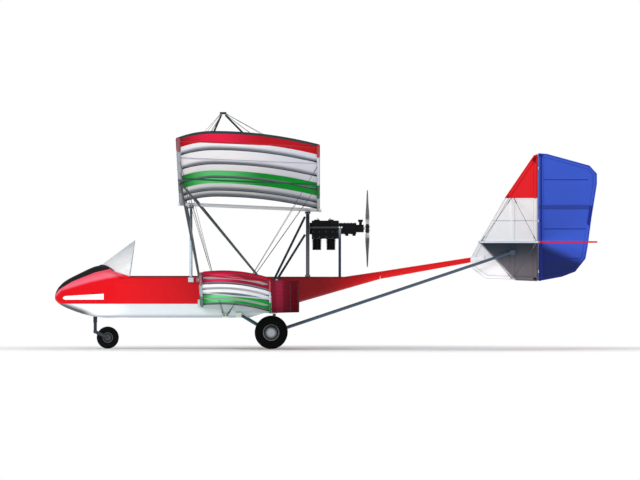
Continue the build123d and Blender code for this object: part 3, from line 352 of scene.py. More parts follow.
RED = rgba(0.70, 0.005, 0.010)
SHADED_DEEP_RED = rgba(0.25, 0.006, 0.010)
BRIGHT_RED = rgba(0.78, 0.006, 0.008)
WHITE = rgba(0.90, 0.91, 0.92)
COOL_SHADE = rgba(0.66, 0.70, 0.77)
GREEN = rgba(0.012, 0.33, 0.040)
HIGHLIGHT_GREEN = rgba(0.14, 0.72, 0.24)
BLUE = rgba(0.048, 0.115, 0.64)
NAVY = rgba(0.010, 0.016, 0.075)
BLACK = rgba(0.012, 0.012, 0.014)
SLATE = rgba(0.075, 0.105, 0.15)
DARK_SLATE = rgba(0.028, 0.036, 0.048)
PAINTED_SHADE_GREY = rgba(0.30, 0.33, 0.38)
TIP_HEM = rgba(0.035, 0.060, 0.068)


def span_share(shader, wing, y):
    """How far out along the half span a point lies, from 0 to 1."""
    out = shader.minus(shader.math("ABSOLUTE", y), wing.root_y)
    return shader.math("DIVIDE", out, math.cos(wing.dihedral) * wing.half_span)


def panel_tone(shader, share, edges, tones):
    """The colour of the panel at a share of the span, where each edge starts the next."""
    tone = tones[0]
    for start, color in zip(edges, tones[1:]):
        tone = shader.mix(shader.over(share, start), tone, color)
    return tone


TIP_HEM_SHARE = 0.989
RIB_EDGE_SHARE = 0.004
# where the painted highlight and the painted cool shade start and end below, as shares of the chord
LIT_FRONT, LIT_REAR, COOL_FROM = (0.02, 0.22), (0.62, 0.30), (0.35, 0.9)


def sailcloth(name, wing, edges, colors):
    """Sailcloth in panels, with a dark hem at the tip.

    Below, painted shade greys the cloth just outboard of each rib, beside its pocket, and painted shade cools
    it towards the trailing edge; a painted highlight lightens it behind the leading edge. Colors are (colour,
    painted shaded colour below, painted highlight colour, how much the painted shade of ribs and edge greys
    it).
    """
    s = Shader(name)
    x, y, _ = s.axes()
    share = span_share(s, wing, y)
    aft = s.math("DIVIDE", s.minus(x, wing.le_x), wing.chord)
    under = s.faces_down()
    # painted highlight: below, the cloth lightens in a band behind the leading edge
    lit = s.times(s.ramp(aft, *LIT_FRONT), s.ramp(aft, *LIT_REAR), under)
    # painted shade: below, the cloth greys just outboard of each rib, beside its pocket
    pocket = 0.0
    for rib in wing.ribs[:-1]:
        rib_shade_dip = s.times(s.ramp(share, rib - RIB_EDGE_SHARE, rib), s.ramp(share, rib + wing.rib_shade, rib))
        pocket = s.math("MAXIMUM", pocket, rib_shade_dip)
    pocket = s.times(pocket, s.spread(aft, 1.0, 0.8), under)
    tones = []
    # below, each panel takes its painted shaded colour, and its painted highlight colour where lit
    for color, below, bright, hold in colors:
        panel = s.mix(lit, s.mix(under, varied(s, color, 0.04, 2.5), below), bright)
        # painted shade: below, the cloth turns cooler towards the trailing edge
        panel = s.mix(s.times(s.ramp(aft, *COOL_FROM), under, hold), panel, COOL_SHADE)
        tones.append(s.mix(s.times(pocket, hold), panel, PAINTED_SHADE_GREY))
    tone = panel_tone(s, share, edges + (TIP_HEM_SHARE,), tones + [TIP_HEM])
    s.bump(s.add(weave(s), s.noise(3.0)), 0.35, 0.0007)
    return s.finish(tone, s.spread(s.noise(40.0), 0.42, 0.58), specular=0.0)


NOSE_STRIPE_X = (-3.208, -2.708)
NOSE_STRIPE_LOW = (0.597, 0.600)
NOSE_STRIPE_HIGH = (0.640, 0.670)
# the lower edge of the black band on the nose, in X and Z
GLARE_EDGE = ((-3.300, 0.665), (-3.250, 0.723), (-3.192, 0.760), (-3.099, 0.816), (-3.017, 0.851),
              (-2.807, 0.933), (-2.62, 0.975))
GLARE_REAR_X = -2.64
# the lower edge of the painted highlight along the nose's shoulder, in X and Z
SHOULDER = ((-3.30, 0.62), (-3.227, 0.700), (-3.075, 0.747), (-2.877, 0.805), (-2.667, 0.851),
            (-2.433, 0.887))
SHOULDER_REAR = (-2.42, -2.60)
SIDE_DARKENS = (-2.6, -1.2)
STRIPE_ROUND = 0.009
HIGHLIGHT_PINK = rgba(0.86, 0.20, 0.30)
SHADED_RED = rgba(0.50, 0.006, 0.012)


def lowest_line(shader, value, points):
    """The lowest of the lines through neighbouring points, which is the curve itself where it bends down."""
    edge = shader.line(value, points[0], points[1])
    for start, end in zip(points[1:], points[2:]):
        edge = shader.math("MINIMUM", edge, shader.line(value, start, end))
    return edge


def pod_paint():
    """Red gloss with a white tapered stripe on the nose and a black band along its top.

    A painted highlight runs along its shoulder, and painted shade darkens its sides aft.
    """
    s = Shader("pod_red")
    x, _, z = s.axes()
    low, high = (s.line(x, *zip(NOSE_STRIPE_X, heights)) for heights in (NOSE_STRIPE_LOW, NOSE_STRIPE_HIGH))
    # the front end is round, so the stripe starts later away from its middle
    off_middle = s.minus(z, (NOSE_STRIPE_LOW[0] + NOSE_STRIPE_HIGH[0]) / 2)
    front = s.add(s.times(off_middle, off_middle, 1 / (2 * STRIPE_ROUND)), NOSE_STRIPE_X[0])
    stripe = s.times(s.over(x, front), s.below(x, NOSE_STRIPE_X[1]), s.over(z, low), s.below(z, high))
    edge = lowest_line(s, x, GLARE_EDGE)
    band = s.times(s.over(z, edge), s.below(x, GLARE_REAR_X))
    # painted highlight: a pink band along the shoulder, just under the black band
    above = s.minus(z, lowest_line(s, x, SHOULDER))
    fade = s.spread(s.ramp(above, 0.10, 0.03), 0.55, 1.0)
    pale = s.times(s.ramp(above, -0.010, 0.028), s.ramp(x, *SHOULDER_REAR), fade)
    # painted shade: the sides darken aft, towards the wings
    side = s.mix(s.ramp(x, *SIDE_DARKENS), varied(s, RED, 0.04, 3.0), SHADED_RED)
    tone = s.mix(s.times(pale, 0.66), side, HIGHLIGHT_PINK)
    tone = s.mix(stripe, tone, WHITE)
    tone = s.mix(band, tone, BLACK)
    s.orange_peel()
    rough = s.add(s.spread(s.noise(14.0), 0.22, 0.34), s.times(band, 0.3))
    return s.finish(tone, rough, coat=0.02, specular=0.06)


# the pan's rising bottom under the nose, in X and Z
NOSE_KEEL = ((-3.20, 0.515), (-2.86, 0.395))
NOSE_SHADE_HEIGHT = (0.085, 0.01)
NOSE_SHADE_REAR = (-2.74, -2.98)
PAN_GREYS = (-2.75, -2.30)
PAN_LOW_Z = (0.430, 0.385)
PAN_GREY = rgba(0.66, 0.71, 0.74)
PAN_LOW_SHADE = rgba(0.34, 0.36, 0.46)


def pan_paint():
    """White gloss, greyer aft, with painted shade along its bottom and under the nose."""
    s = Shader("pan_white")
    x, _, z = s.axes()
    above = s.minus(z, s.line(x, *NOSE_KEEL))
    nose = s.times(s.ramp(above, *NOSE_SHADE_HEIGHT), s.ramp(x, *NOSE_SHADE_REAR))
    tone = s.mix(s.ramp(x, *PAN_GREYS), varied(s, WHITE, 0.02, 3.0), PAN_GREY)
    # painted shade: darker along the bottom, and darkest under the nose
    tone = s.mix(s.times(s.ramp(z, *PAN_LOW_Z), 0.9), tone, PAN_LOW_SHADE)
    tone = s.mix(s.times(nose, 0.95), tone, rgba(0.03, 0.035, 0.045))
    s.orange_peel()
    return s.finish(tone, s.spread(s.noise(14.0), 0.22, 0.34), coat=0.02, specular=0.06)


TAIL_BRIGHTENS = (-0.1, 0.75)
BOOM_WHITE_X = 1.765


def tail_paint(name):
    """Red deepened by painted shade near the wings, that brightens towards the tail."""
    s = Shader(name)
    x, _, _ = s.axes()
    # painted shade: the red is deep near the wings and brightens aft
    tone = s.mix(s.ramp(x, *TAIL_BRIGHTENS), varied(s, SHADED_DEEP_RED, 0.05, 3.0), BRIGHT_RED)
    tone = s.mix(s.over(x, BOOM_WHITE_X), tone, WHITE)
    s.orange_peel()
    return s.finish(tone, s.spread(s.noise(14.0), 0.25, 0.4), coat=0.03)


FIN_REAR_X = 2.578
FIN_RED_Z = 1.836
FIN_RED = rgba(0.86, 0.018, 0.025)
FIN_WHITE = rgba(0.97, 0.97, 0.97)
STAB_Z = 1.301
# the shadow of the stabilizer: a line on the fin and one on the rudder, in X and Z
FIN_SHADE = ((1.868, 1.296), (2.289, 0.852))
RUDDER_SHADE = ((2.651, 1.283), (3.165, 1.061))
RUDDER_BAND = (1.704, 1.751)


def fin_dusk(shader, x, z):
    """How deep a point of the fin lies in the stabilizer's shadow."""
    inside = shader.minus(z, shader.line(x, *FIN_SHADE))
    return shader.times(shader.ramp(inside, -0.02, 0.03), shader.below(z, STAB_Z))


def fin_cloth():
    """White below and red above, in the stabilizer's shadow towards its lower rear."""
    s = Shader("fin_cloth")
    x, _, z = s.axes()
    shadow = s.mix(s.ramp(z, 0.95, 1.27), rgba(0.17, 0.16, 0.18), rgba(0.035, 0.048, 0.066))
    # painted shade: the white greys towards the stabilizer, under it
    grey = s.times(s.ramp(z, 1.00, 1.20), s.below(z, STAB_Z), 0.35)
    white = s.mix(grey, varied(s, FIN_WHITE, 0.02, 3.0), PAINTED_SHADE_GREY)
    tone = s.mix(fin_dusk(s, x, z), white, shadow)
    tone = s.mix(s.over(z, FIN_RED_Z), tone, varied(s, FIN_RED, 0.05, 3.0))
    tone = s.mix(s.over(x, FIN_REAR_X + 0.003), tone, NAVY)
    return as_tail_cloth(s, tone)


def fin_hem():
    """The fin's border: light grey on the white, deeper red on the red, dark in the stabilizer's shadow."""
    s = Shader("fin_hem_cloth")
    x, _, z = s.axes()
    tone = s.mix(fin_dusk(s, x, z), varied(s, rgba(0.52, 0.56, 0.59), 0.06, 4.0), rgba(0.10, 0.11, 0.13))
    tone = s.mix(s.over(z, FIN_RED_Z), tone, rgba(0.42, 0.006, 0.012))
    s.bump(weave(s), 0.3, 0.0005)
    return s.finish(tone, s.spread(s.noise(40.0), 0.4, 0.55), specular=0.04)


def rudder_cloth():
    """Blue with a darker seam and the elevator's shadow."""
    s = Shader("rudder_cloth")
    x, _, z = s.axes()
    inside = s.minus(s.line(x, *RUDDER_SHADE), z)
    dusk = s.times(s.ramp(inside, -0.03, 0.09), s.below(z, STAB_Z), 0.85)
    seam = s.times(s.over(z, RUDDER_BAND[0]), s.below(z, RUDDER_BAND[1]), 0.45)
    tone = s.mix(s.math("MAXIMUM", dusk, seam), varied(s, BLUE, 0.06, 3.0), NAVY)
    return as_tail_cloth(s, tone)


# where the aileron's painted shade deepens, and where its painted highlight band starts and ends, in X
AILERON_SHADE = (-0.62, -0.34)
AILERON_HIGHLIGHT = ((-0.63, -0.585), (-0.50, -0.545))


def aileron_cloth():
    """Crimson that painted shade darkens aft, with a painted highlight band in front."""
    s = Shader("aileron_cloth")
    x, _, _ = s.axes()
    # painted highlight in front, painted shade aft
    light = s.times(*(s.ramp(x, *ends) for ends in AILERON_HIGHLIGHT), 0.6)
    tone = s.mix(s.ramp(x, *AILERON_SHADE), rgba(0.16, 0.010, 0.025), rgba(0.085, 0.004, 0.008))
    tone = s.mix(light, tone, rgba(0.30, 0.02, 0.05))
    s.bump(s.add(weave(s), s.noise(4.0)), 0.3, 0.0006)
    return s.finish(tone, s.spread(s.noise(40.0), 0.4, 0.55), specular=0.0)


PROP_Z = 1.465
BLADE_GRAIN = (90.0, 90.0, 3.0)
# distances from the axis where the pale root and the black boss end
BLADE_ROOT, BLADE_BOSS = (0.13, 0.09), (0.058, 0.050)


def blade_paint():
    """Grey blade with streaks along it, pale at its root, with a black boss."""
    s = Shader("blade_paint")
    x, y, z = s.axes()
    along = s.tree.nodes.new("ShaderNodeCombineXYZ")
    for socket, value, scale in zip(along.inputs, (x, y, z), BLADE_GRAIN):
        s.set(socket, s.times(value, scale))
    grain = s.node("TexNoise", Vector=along.outputs[0], Scale=1.0, Detail=2.0).outputs["Fac"]
    tone = s.mix(s.ramp(grain, 0.35, 0.65), rgba(0.05, 0.053, 0.056), rgba(0.26, 0.27, 0.28))
    out = s.math("ABSOLUTE", s.minus(z, PROP_Z))
    tone = s.mix(s.times(s.ramp(out, *BLADE_ROOT), 0.8), tone, rgba(0.70, 0.68, 0.67))
    tone = s.mix(s.ramp(out, *BLADE_BOSS), tone, BLACK)
    s.bump(grain, 0.1, 0.0005)
    return s.finish(tone, s.spread(s.noise(14.0), 0.3, 0.42), coat=0.05)


def frame_tube(name, wing, edges, tones):
    """Sleeves of the panels' colours, shaded with slate along the leading edge."""
    s = Shader(name)
    x, y, _ = s.axes()
    sleeves = panel_tone(s, span_share(s, wing, y), edges, tones)
    front = wing.le_x + 2 * wing.tube
    shaded = s.mix(0.5, sleeves, varied(s, SLATE, 0.1, 5.0))
    tone = s.mix(s.ramp(x, front + 0.002, front + 0.008), shaded, sleeves)
    return s.finish(tone, s.spread(s.noise(14.0), 0.4, 0.55), coat=0.02, specular=0.06)


def falling(name, top, bottom, high, low, metallic=0.3):
    """Tube colour that changes with height."""
    s = Shader(name)
    _, _, z = s.axes()
    tone = s.mix(s.ramp(z, low, high), varied(s, bottom, 0.08, 6.0), varied(s, top, 0.08, 6.0))
    s.bump(s.noise(420.0, 2.0), 0.05, 0.0003)
    return s.finish(tone, s.spread(s.noise(14.0), 0.30, 0.44), metallic=metallic)


def wheel_metal(name, hub, lip, ring, dome, gap):
    """A bare dome in a darker dish with a lip. Hub is the axle's X and Z, and ring the lip's radius."""
    s = Shader(name)
    x, _, z = s.axes()
    out = s.distance(s.minus(x, hub[0]), s.minus(z, hub[1]))
    tone = s.mix(s.ramp(out, ring * 0.30, ring * 0.80), dome, gap)
    tone = s.mix(s.ramp(out, ring * 0.88, ring * 0.95), tone, lip)
    s.bump(s.noise(420.0, 2.0), 0.06, 0.0003)
    return s.finish(tone, s.spread(s.noise(30.0), 0.28, 0.42), metallic=0.55)


SCREEN_DENSER = (0.98, 1.32)
SCREEN_GREYS = (1.02, 1.31)


def glass(name):
    """Milky clear sheet, denser and greyer towards its top."""
    s = Shader(name)
    _, _, z = s.axes()
    s.set(s.bsdf.inputs["Alpha"], s.spread(s.ramp(z, *SCREEN_DENSER), 0.34, 0.60))
    tone = s.mix(s.ramp(z, *SCREEN_GREYS), rgba(0.97, 0.98, 0.99), rgba(0.66, 0.72, 0.76))
    return s.finish(tone, s.spread(s.noise(30.0), 0.08, 0.16), specular=0.35)


# the axles' X and Z
MAIN_HUB = (-0.667, 0.200)
NOSE_HUB = (-2.662, 0.135)

MAT = {
    "pod_red": pod_paint(),
    "pan": pan_paint(),
    "red": tail_paint("tail_red"),
    "white": paint("white_paint", WHITE),
    "glass": glass("screen_glass"),
    "black_plastic": paint("black_plastic", BLACK, rough=0.5, coat=0.0),
    "dial_face": paint("dial_face", rgba(0.03, 0.03, 0.035), rough=0.2, coat=0.3),
    "mark": paint("mark_white", rgba(0.85, 0.85, 0.82), rough=0.5, coat=0.0),
    "engine": metal("engine_black", rgba(0.003, 0.003, 0.004), rough=0.5, metallic=0.0),
    "engine_trim": metal("engine_trim", rgba(0.05, 0.055, 0.06), rough=0.4, metallic=0.6),
    "bearer": metal("bearer_tube", rgba(0.075, 0.082, 0.09), rough=0.4, metallic=0.3),
    "seat": cloth("seat_shell", rgba(0.045, 0.05, 0.06), pitch=0.003),
    "cushion": cloth("cushion_cloth", rgba(0.06, 0.07, 0.10), rough=0.8, pitch=0.0024, sheen=0.3),
    "webbing": cloth("webbing", rgba(0.30, 0.31, 0.33), rough=0.7, pitch=0.0018),
    "vinyl": paint("coaming_vinyl", rgba(0.02, 0.02, 0.022), rough=0.55, coat=0.0),
    "upper_frame": frame_tube("upper_frame_tube", UPPER, (0.20, 0.41, 0.84), (
        rgba(0.55, 0.58, 0.62), rgba(0.02, 0.16, 0.05), rgba(0.62, 0.65, 0.70), rgba(0.40, 0.02, 0.03))),
    "lower_frame": frame_tube("lower_frame_tube", LOWER, (1 / 3, 2 / 3), (
        rgba(0.02, 0.16, 0.05), rgba(0.55, 0.58, 0.64), rgba(0.40, 0.02, 0.04))),
    "strut": paint("strut_slate", SLATE, rough=0.33, coat=0.03),
    "cabane": falling("cabane_tube", rgba(0.12, 0.145, 0.17), rgba(0.50, 0.58, 0.68), 1.50, 1.22),
    "lift_strut": falling("lift_strut_tube", rgba(0.09, 0.10, 0.115), rgba(0.16, 0.18, 0.20), 1.6, 0.85),
    "rear_cabane": falling("rear_cabane_tube", rgba(0.030, 0.035, 0.045), rgba(0.15, 0.15, 0.19), 1.65, 1.0),
    "engine_stand": falling("engine_stand_tube", rgba(0.30, 0.32, 0.37), rgba(0.03, 0.05, 0.12), 1.44, 1.32),
    "keel": metal("keel_tube", rgba(0.84, 0.86, 0.88), rough=0.4, metallic=0.0),
    "dark_strut": paint("dark_strut", DARK_SLATE, rough=0.4, coat=0.03),
    "light_tube": metal("light_tube", rgba(0.48, 0.52, 0.56), rough=0.34, metallic=0.6),
    "steel": metal("steel", rgba(0.60, 0.61, 0.63), rough=0.28, metallic=0.95),
    "fitting": metal("fitting_steel", rgba(0.10, 0.105, 0.11), rough=0.35, metallic=0.8),
    "wire": metal("wire_steel", rgba(0.030, 0.033, 0.040), rough=0.35, metallic=0.4),
    # each panel: its colour, its painted shaded colour below, its painted highlight colour, and how much
    # painted shade greys it
    "upper_sail": sailcloth("upper_sailcloth", UPPER, (0.20, 0.40, 0.84), (
        (WHITE, WHITE, WHITE, 1.0), (GREEN, GREEN, HIGHLIGHT_GREEN, 0.0), (WHITE, WHITE, WHITE, 1.0),
        (RED, rgba(0.50, 0.012, 0.018), rgba(0.80, 0.02, 0.07), 0.0))),
    # the same: colour, painted shaded colour below, painted highlight colour, and how much painted shade
    # greys it
    "lower_sail": sailcloth("lower_sailcloth", LOWER, (1 / 3, 2 / 3), (
        (GREEN, GREEN, HIGHLIGHT_GREEN, 0.0), (WHITE, WHITE, WHITE, 0.8),
        (RED, rgba(0.24, 0.012, 0.03), rgba(0.60, 0.03, 0.09), 0.0))),
    "pocket": cloth("pocket_cloth", rgba(0.030, 0.042, 0.048), specular=0.0),
    "pocket_mid": cloth("pocket_mid_cloth", rgba(0.40, 0.41, 0.43), specular=0.0),
    "pocket_side": cloth("pocket_side_cloth", rgba(0.20, 0.22, 0.25), specular=0.0),
    "pocket_red": cloth("pocket_red_cloth", rgba(0.45, 0.006, 0.030), specular=0.0),
    "hem": cloth("hem_cloth", rgba(0.52, 0.56, 0.60)),
    "blue_hem": cloth("blue_hem_cloth", rgba(0.018, 0.035, 0.30), specular=0.04),
    "screen_edge": paint("screen_edge", rgba(0.52, 0.56, 0.58), rough=0.4, coat=0.0),
    "screen_foot": paint("screen_foot", rgba(0.55, 0.57, 0.58), rough=0.5, coat=0.0),
    "rivet": paint("rivet_red", rgba(0.42, 0.006, 0.010), rough=0.35, coat=0.0),
    "red_hem": cloth("red_hem_cloth", rgba(0.42, 0.006, 0.012)),
    "aileron": aileron_cloth(),
    "aileron_line": cloth("aileron_line", rgba(0.030, 0.003, 0.008), specular=0.02),
    "fin": fin_cloth(),
    "fin_hem": fin_hem(),
    "rudder": rudder_cloth(),
    "navy": cloth("navy_cloth", NAVY),
    "stab": cloth("stab_cloth", rgba(0.55, 0.60, 0.66), rough=0.5),
    "elevator": cloth("elevator_cloth", RED, rough=0.5),
    "tyre": rubber("tyre_rubber", rgba(0.003, 0.003, 0.0035)),
    "main_rim": wheel_metal("main_rim_metal", MAIN_HUB, rgba(0.30, 0.32, 0.34), 0.100,
                            rgba(0.34, 0.36, 0.40), rgba(0.022, 0.025, 0.028)),
    "nose_rim": wheel_metal("nose_rim_metal", NOSE_HUB, rgba(0.10, 0.10, 0.105), 0.062,
                            rgba(0.08, 0.08, 0.085), rgba(0.010, 0.010, 0.011)),
    "blade": blade_paint(),
}

NODE_MATERIALS = {
    "pod_upper_shell": "pod_red", "pod_floor_pan": "pan", "windscreen": "glass",
    "instrument_panel": "black_plastic", "seat_front": "seat", "seat_rear": "seat",
    "cockpit_controls": "strut", "rear_bulkhead": "white", "rear_fuselage": "red", "tail_boom": "red",
    "keel_tube": "keel", "wing_root_plates": "light_tube",
    "front_cabane_struts": "cabane", "rear_cabane_struts": "rear_cabane", "rear_braces": "dark_strut",
    "lift_struts": "lift_strut", "kingpost": "dark_strut", "fin": "fin", "rudder": "rudder",
    "flying_wires": "wire", "landing_wires": "wire", "tail_wires": "wire",
    "engine_block": "engine", "engine_cylinders": "engine", "gearbox": "engine",
    "engine_bearers": "bearer", "engine_supports": "engine_stand",
    "propeller": "blade", "propeller_shaft": "steel",
    "axle_beam": "strut", "gear_brackets": "white", "gear_struts": "strut", "tail_braces": "strut",
    "nose_leg": "dark_strut", "nose_fork": "dark_strut", "nose_rim": "nose_rim", "nose_tyre": "tyre",
}
PAIRED_MATERIALS = {
    "upper_sail": "upper_sail", "upper_frame": "upper_frame", "upper_ribs": "dark_strut",
    "lower_sail": "lower_sail", "lower_frame": "lower_frame", "lower_ribs": "dark_strut",
    "aileron": "aileron", "stabilizer": "stab", "elevator": "elevator",
    "main_rim": "main_rim", "main_tyre": "tyre",
}
for stem, key in PAIRED_MATERIALS.items():
    for side_name, _ in SIDES:
        NODE_MATERIALS[f"{stem}_{side_name}"] = key
for name, node in NODES.items():
    node.data.materials.clear()
    node.data.materials.append(MAT[NODE_MATERIALS[name]])


# Sails and stays: thin stretched cloth over the tubes, pockets for the ribs, and fittings on the wires

def section_point(wing, side, along, aft, z):
    """A point of the wing's section at a distance along the span."""
    rise = wing.dihedral
    return Vector((
        wing.le_x + aft,
        side * (wing.root_y + along * math.cos(rise) - z * math.sin(rise)),
        wing.le_z + along * math.sin(rise) + z * math.cos(rise)))


SAIL_ABOVE_TUBE = 0.0055
CLOTH = 0.0016


def tube_z(wing, aft):
    """The height of the line between the wing's tubes."""
    return -wing.drop * aft / wing.chord


def sail_top(wing, aft):
    """The height of the sail's top, on two arcs that meet level at the crest."""
    crest_x, crest_z = wing.crest
    front = aft < crest_x
    end = wing.tube if front else wing.chord - wing.te_tube
    end_z = (wing.tube if front else wing.te_tube) + SAIL_ABOVE_TUBE + tube_z(wing, end)
    dx, dz = abs(end - crest_x), crest_z - end_z
    radius = (dx * dx + dz * dz) / (2 * dz)
    return crest_z - radius + math.sqrt(max(radius ** 2 - (aft - crest_x) ** 2, 0))


def sail_path(wing, chord_steps=30):
    """The middle of the cloth from the leading tube's front to the trailing tube, with how far it may sag."""
    points = []
    reach = wing.tube + SAIL_ABOVE_TUBE - CLOTH / 2
    for step in range(6):
        turn = math.radians(180 - 15 * step)
        z = tube_z(wing, wing.tube) + reach * math.sin(turn)
        points.append((wing.tube + reach * math.cos(turn), z, 0.0))
    last = wing.chord - wing.te_tube
    for step in range(chord_steps + 1):
        share = step / chord_steps
        aft = wing.tube + (last - wing.tube) * share
        points.append((aft, sail_top(wing, aft) - CLOTH / 2, math.sin(math.pi * share)))
    if wing.tail_wrap:
        reach = wing.te_tube + SAIL_ABOVE_TUBE - CLOTH / 2
        for step in range(1, 7):
            turn = math.radians(90 - 15 * step)
            points.append((last + reach * math.cos(turn), tube_z(wing, last) + reach * math.sin(turn), 0.0))
    return points


def span_stations(wing, steps=8):
    """Distances along the span, each with how deep the cloth sags there between its ribs."""
    stops = [wing.start] + [share * wing.half_span for share in wing.ribs] + [wing.half_span]
    rows = [(stops[0], 0.0)]
    for low, high in zip(stops, stops[1:]):
        depth = wing.sag * min(1.0, (high - low) / (wing.half_span / 6))
        count = steps if high - low > 0.1 else 1
        for step in range(1, count + 1):
            share = step / count
            rows.append((low + (high - low) * share, depth * math.sin(math.pi * share) ** 2))
    return rows


def close_grid(shape, pairs):
    """The faces of a solid from a grid of vertex pairs, one of each pair on its top and one on its base."""
    rows, columns = len(pairs), len(pairs[0])
    for i in range(rows - 1):
        for j in range(columns - 1):
            square = [pairs[i][j], pairs[i + 1][j], pairs[i + 1][j + 1], pairs[i][j + 1]]
            shape.faces.new([v[0] for v in square])
            shape.faces.new([v[1] for v in reversed(square)])
    rim = [row[0] for row in pairs] + pairs[-1][1:]
    rim += [row[-1] for row in pairs[-2::-1]] + pairs[0][-2:0:-1]
    for a, b in zip(rim, rim[1:] + rim[:1]):
        shape.faces.new((a[0], a[1], b[1], b[0]))


def add_cloth(shape, grid, thickness):
    """A closed thin cloth about a grid of points."""
    rows, columns = len(grid), len(grid[0])
    pairs = []
    for i in range(rows):
        pairs.append([])
        for j in range(columns):
            along = grid[min(i + 1, rows - 1)][j] - grid[max(i - 1, 0)][j]
            across = grid[i][min(j + 1, columns - 1)] - grid[i][max(j - 1, 0)]
            normal = along.cross(across).normalized() * thickness / 2
            pairs[-1].append((shape.verts.new(grid[i][j] + normal), shape.verts.new(grid[i][j] - normal)))
    close_grid(shape, pairs)


def make_sail(name, wing, side, node, material):
    """A wing's cloth, built as a stretched sheet in place of the node."""
    path = sail_path(wing)
    stations = span_stations(wing)
    grid = [[section_point(wing, side, along, aft, z - depth * give) for aft, z, give in path]
            for along, depth in stations]
    piece = made_of(name, lambda shape: add_cloth(shape, grid, CLOTH), material, AIRFRAME, 60)
    width = sum(math.dist(a[:2], b[:2]) for a, b in zip(path, path[1:]))
    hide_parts(node)
    return piece, width, wing.half_span - wing.start


RIB_BELOW_SAIL = 0.008
POCKET_SLACK, POCKET_TOP, POCKET_BASE, POCKET_END, POCKET_FLANGE = 0.003, 0.002, 0.0025, 0.012, 0.010
POCKET_STEPS = 24
POCKET_STRIPS = 8
POCKET_BOTTOM = (2, 3, 4)   # which of a pocket's long strips are its bottom


def add_pocket(shape, wing, side, along, size):
    """A cloth pocket round a rib, from under the sail to just below the rib."""
    half = size / 2 + POCKET_SLACK
    top, low = POCKET_TOP, RIB_BELOW_SAIL + size + POCKET_BASE
    first, last = 2 * wing.tube + POCKET_END, wing.chord - 2 * wing.te_tube - POCKET_END
    rings = []
    for step in range(POCKET_STEPS + 1):
        share = step / POCKET_STEPS
        aft = first + (last - first) * share
        # the pocket tapers at both ends, where it closes on the rib
        taper = min(1.0, 0.55 + 6 * min(share, 1 - share))
        z = sail_top(wing, aft)
        outline = (
            (half + POCKET_FLANGE, top), (half, top + 0.008), (half * 0.98, low * 0.8 * taper),
            (half * 0.6, low * taper))
        outline += tuple((-s, d) for s, d in outline[::-1])
        rings.append([shape.verts.new(section_point(wing, side, along + s, aft, z - d)) for s, d in outline])
    before = len(shape.faces)
    join_rings(shape, rings)
    shape.faces.ensure_lookup_table()
    return shape.faces[before:before + POCKET_STRIPS * POCKET_STEPS]


# the cloths of the pockets, in the order of their slots, and those of each rib's sides and bottom, root first
POCKET_CLOTHS = ("pocket", "pocket_side", "pocket_red", "pocket_mid")
DARK, SIDE, RED_SIDE, MID = range(4)
# where a pocket's bottom is darker than its sides, that is painted shade under the rib
POCKETS = {
    "upper": ((SIDE, DARK),) * 5 + ((DARK, DARK),),
    "lower": ((SIDE, DARK), (MID, MID), (SIDE, DARK), (MID, MID), (SIDE, DARK), (MID, MID), (RED_SIDE, DARK)),
}


def make_pockets(name, label, wing, side):
    """Pockets for all the ribs of a wing."""
    def build(shape):
        for share, (sides, bottom) in zip(wing.ribs, POCKETS[label]):
            for i, face in enumerate(add_pocket(shape, wing, side, share * wing.half_span, wing.rib_size)):
                face.material_index = bottom if i % POCKET_STRIPS in POCKET_BOTTOM else sides
    piece = made_of(name, build, MAT["pocket"], AIRFRAME, 50)
    for key in POCKET_CLOTHS[1:]:
        piece.data.materials.append(MAT[key])
    return piece


WIRE_NODES = ("flying_wires", "landing_wires", "tail_wires")


ROD_END_REACH = 0.02


def loose_rods(node):
    """The two ends of each separate rod in a node's mesh."""
    shape = bmesh.new()
    shape.from_mesh(node.data)
    bmesh.ops.remove_doubles(shape, verts=shape.verts, dist=1e-6)
    seen, rods = set(), []
    for start in shape.verts:
        if start in seen:
            continue
        group, todo = [], [start]
        seen.add(start)
        while todo:
            vertex = todo.pop()
            group.append(vertex.co.copy())
            for edge in vertex.link_edges:
                other = edge.other_vert(vertex)
                if other not in seen:
                    seen.add(other)
                    todo.append(other)
        far = max(group, key=lambda p: (p - group[0]).length)
        near = max(group, key=lambda p: (p - far).length)
        ends = []
        for mark in (near, far):
            close = [p for p in group if (p - mark).length < ROD_END_REACH]
            ends.append(sum(close, Vector()) / len(close))
        rods.append(tuple(ends))
    shape.free()
    return rods


# a terminal's profile, as distances along the wire and radii
WIRE_END_START = 0.004
WIRE_END = (
    (0, 0.0), (0, 0.0048), (0.022, 0.0048), (0.026, 0.0034), (0.060, 0.0034), (0.064, 0.0056),
    (0.120, 0.0056), (0.124, 0.0034), (0.150, 0.0034), (0.154, 0.0026), (0.154, 0.0))


def add_wire_end(shape, start, end):
    """A swaged terminal and a turnbuckle at one end of a wire."""
    way = (end - start).normalized()
    add_turned(shape, start + way * WIRE_END_START, way, WIRE_END, 10)


def make_wire_ends():
    """Fittings at both ends of every stay."""
    for name in WIRE_NODES:
        rods = loose_rods(NODES[name])

        def build(shape):
            for start, end in rods:
                add_wire_end(shape, start, end)
                add_wire_end(shape, end, start)
        made_of(name + "_fittings", build, MAT["fitting"], AIRFRAME)


EYELET = ((0, 0.009), (0.0012, 0.0095), (0.0016, 0.0120), (0.0012, 0.0150), (0, 0.0155))
EYELET_LIFTS = (0.0006, -0.0032)
CROSSING_REACH = 0.002


def sail_crossing(low, high, side, up, steps=2000):
    """Where a wire meets the lower sail, found by stepping along it, or None."""
    for step in range(steps + 1):
        point = low.lerp(high, step / steps)
        aft = point.x - LOWER.le_x
        if not LOWER.tube < aft < LOWER.chord - LOWER.te_tube:
            continue
        along = (abs(point.y) - LOWER.root_y) / math.cos(LOWER.dihedral)
        surface = section_point(LOWER, side, along, aft, sail_top(LOWER, aft))
        if along > 0 and abs((point - surface).dot(up)) < CROSSING_REACH:
            return surface
    return None


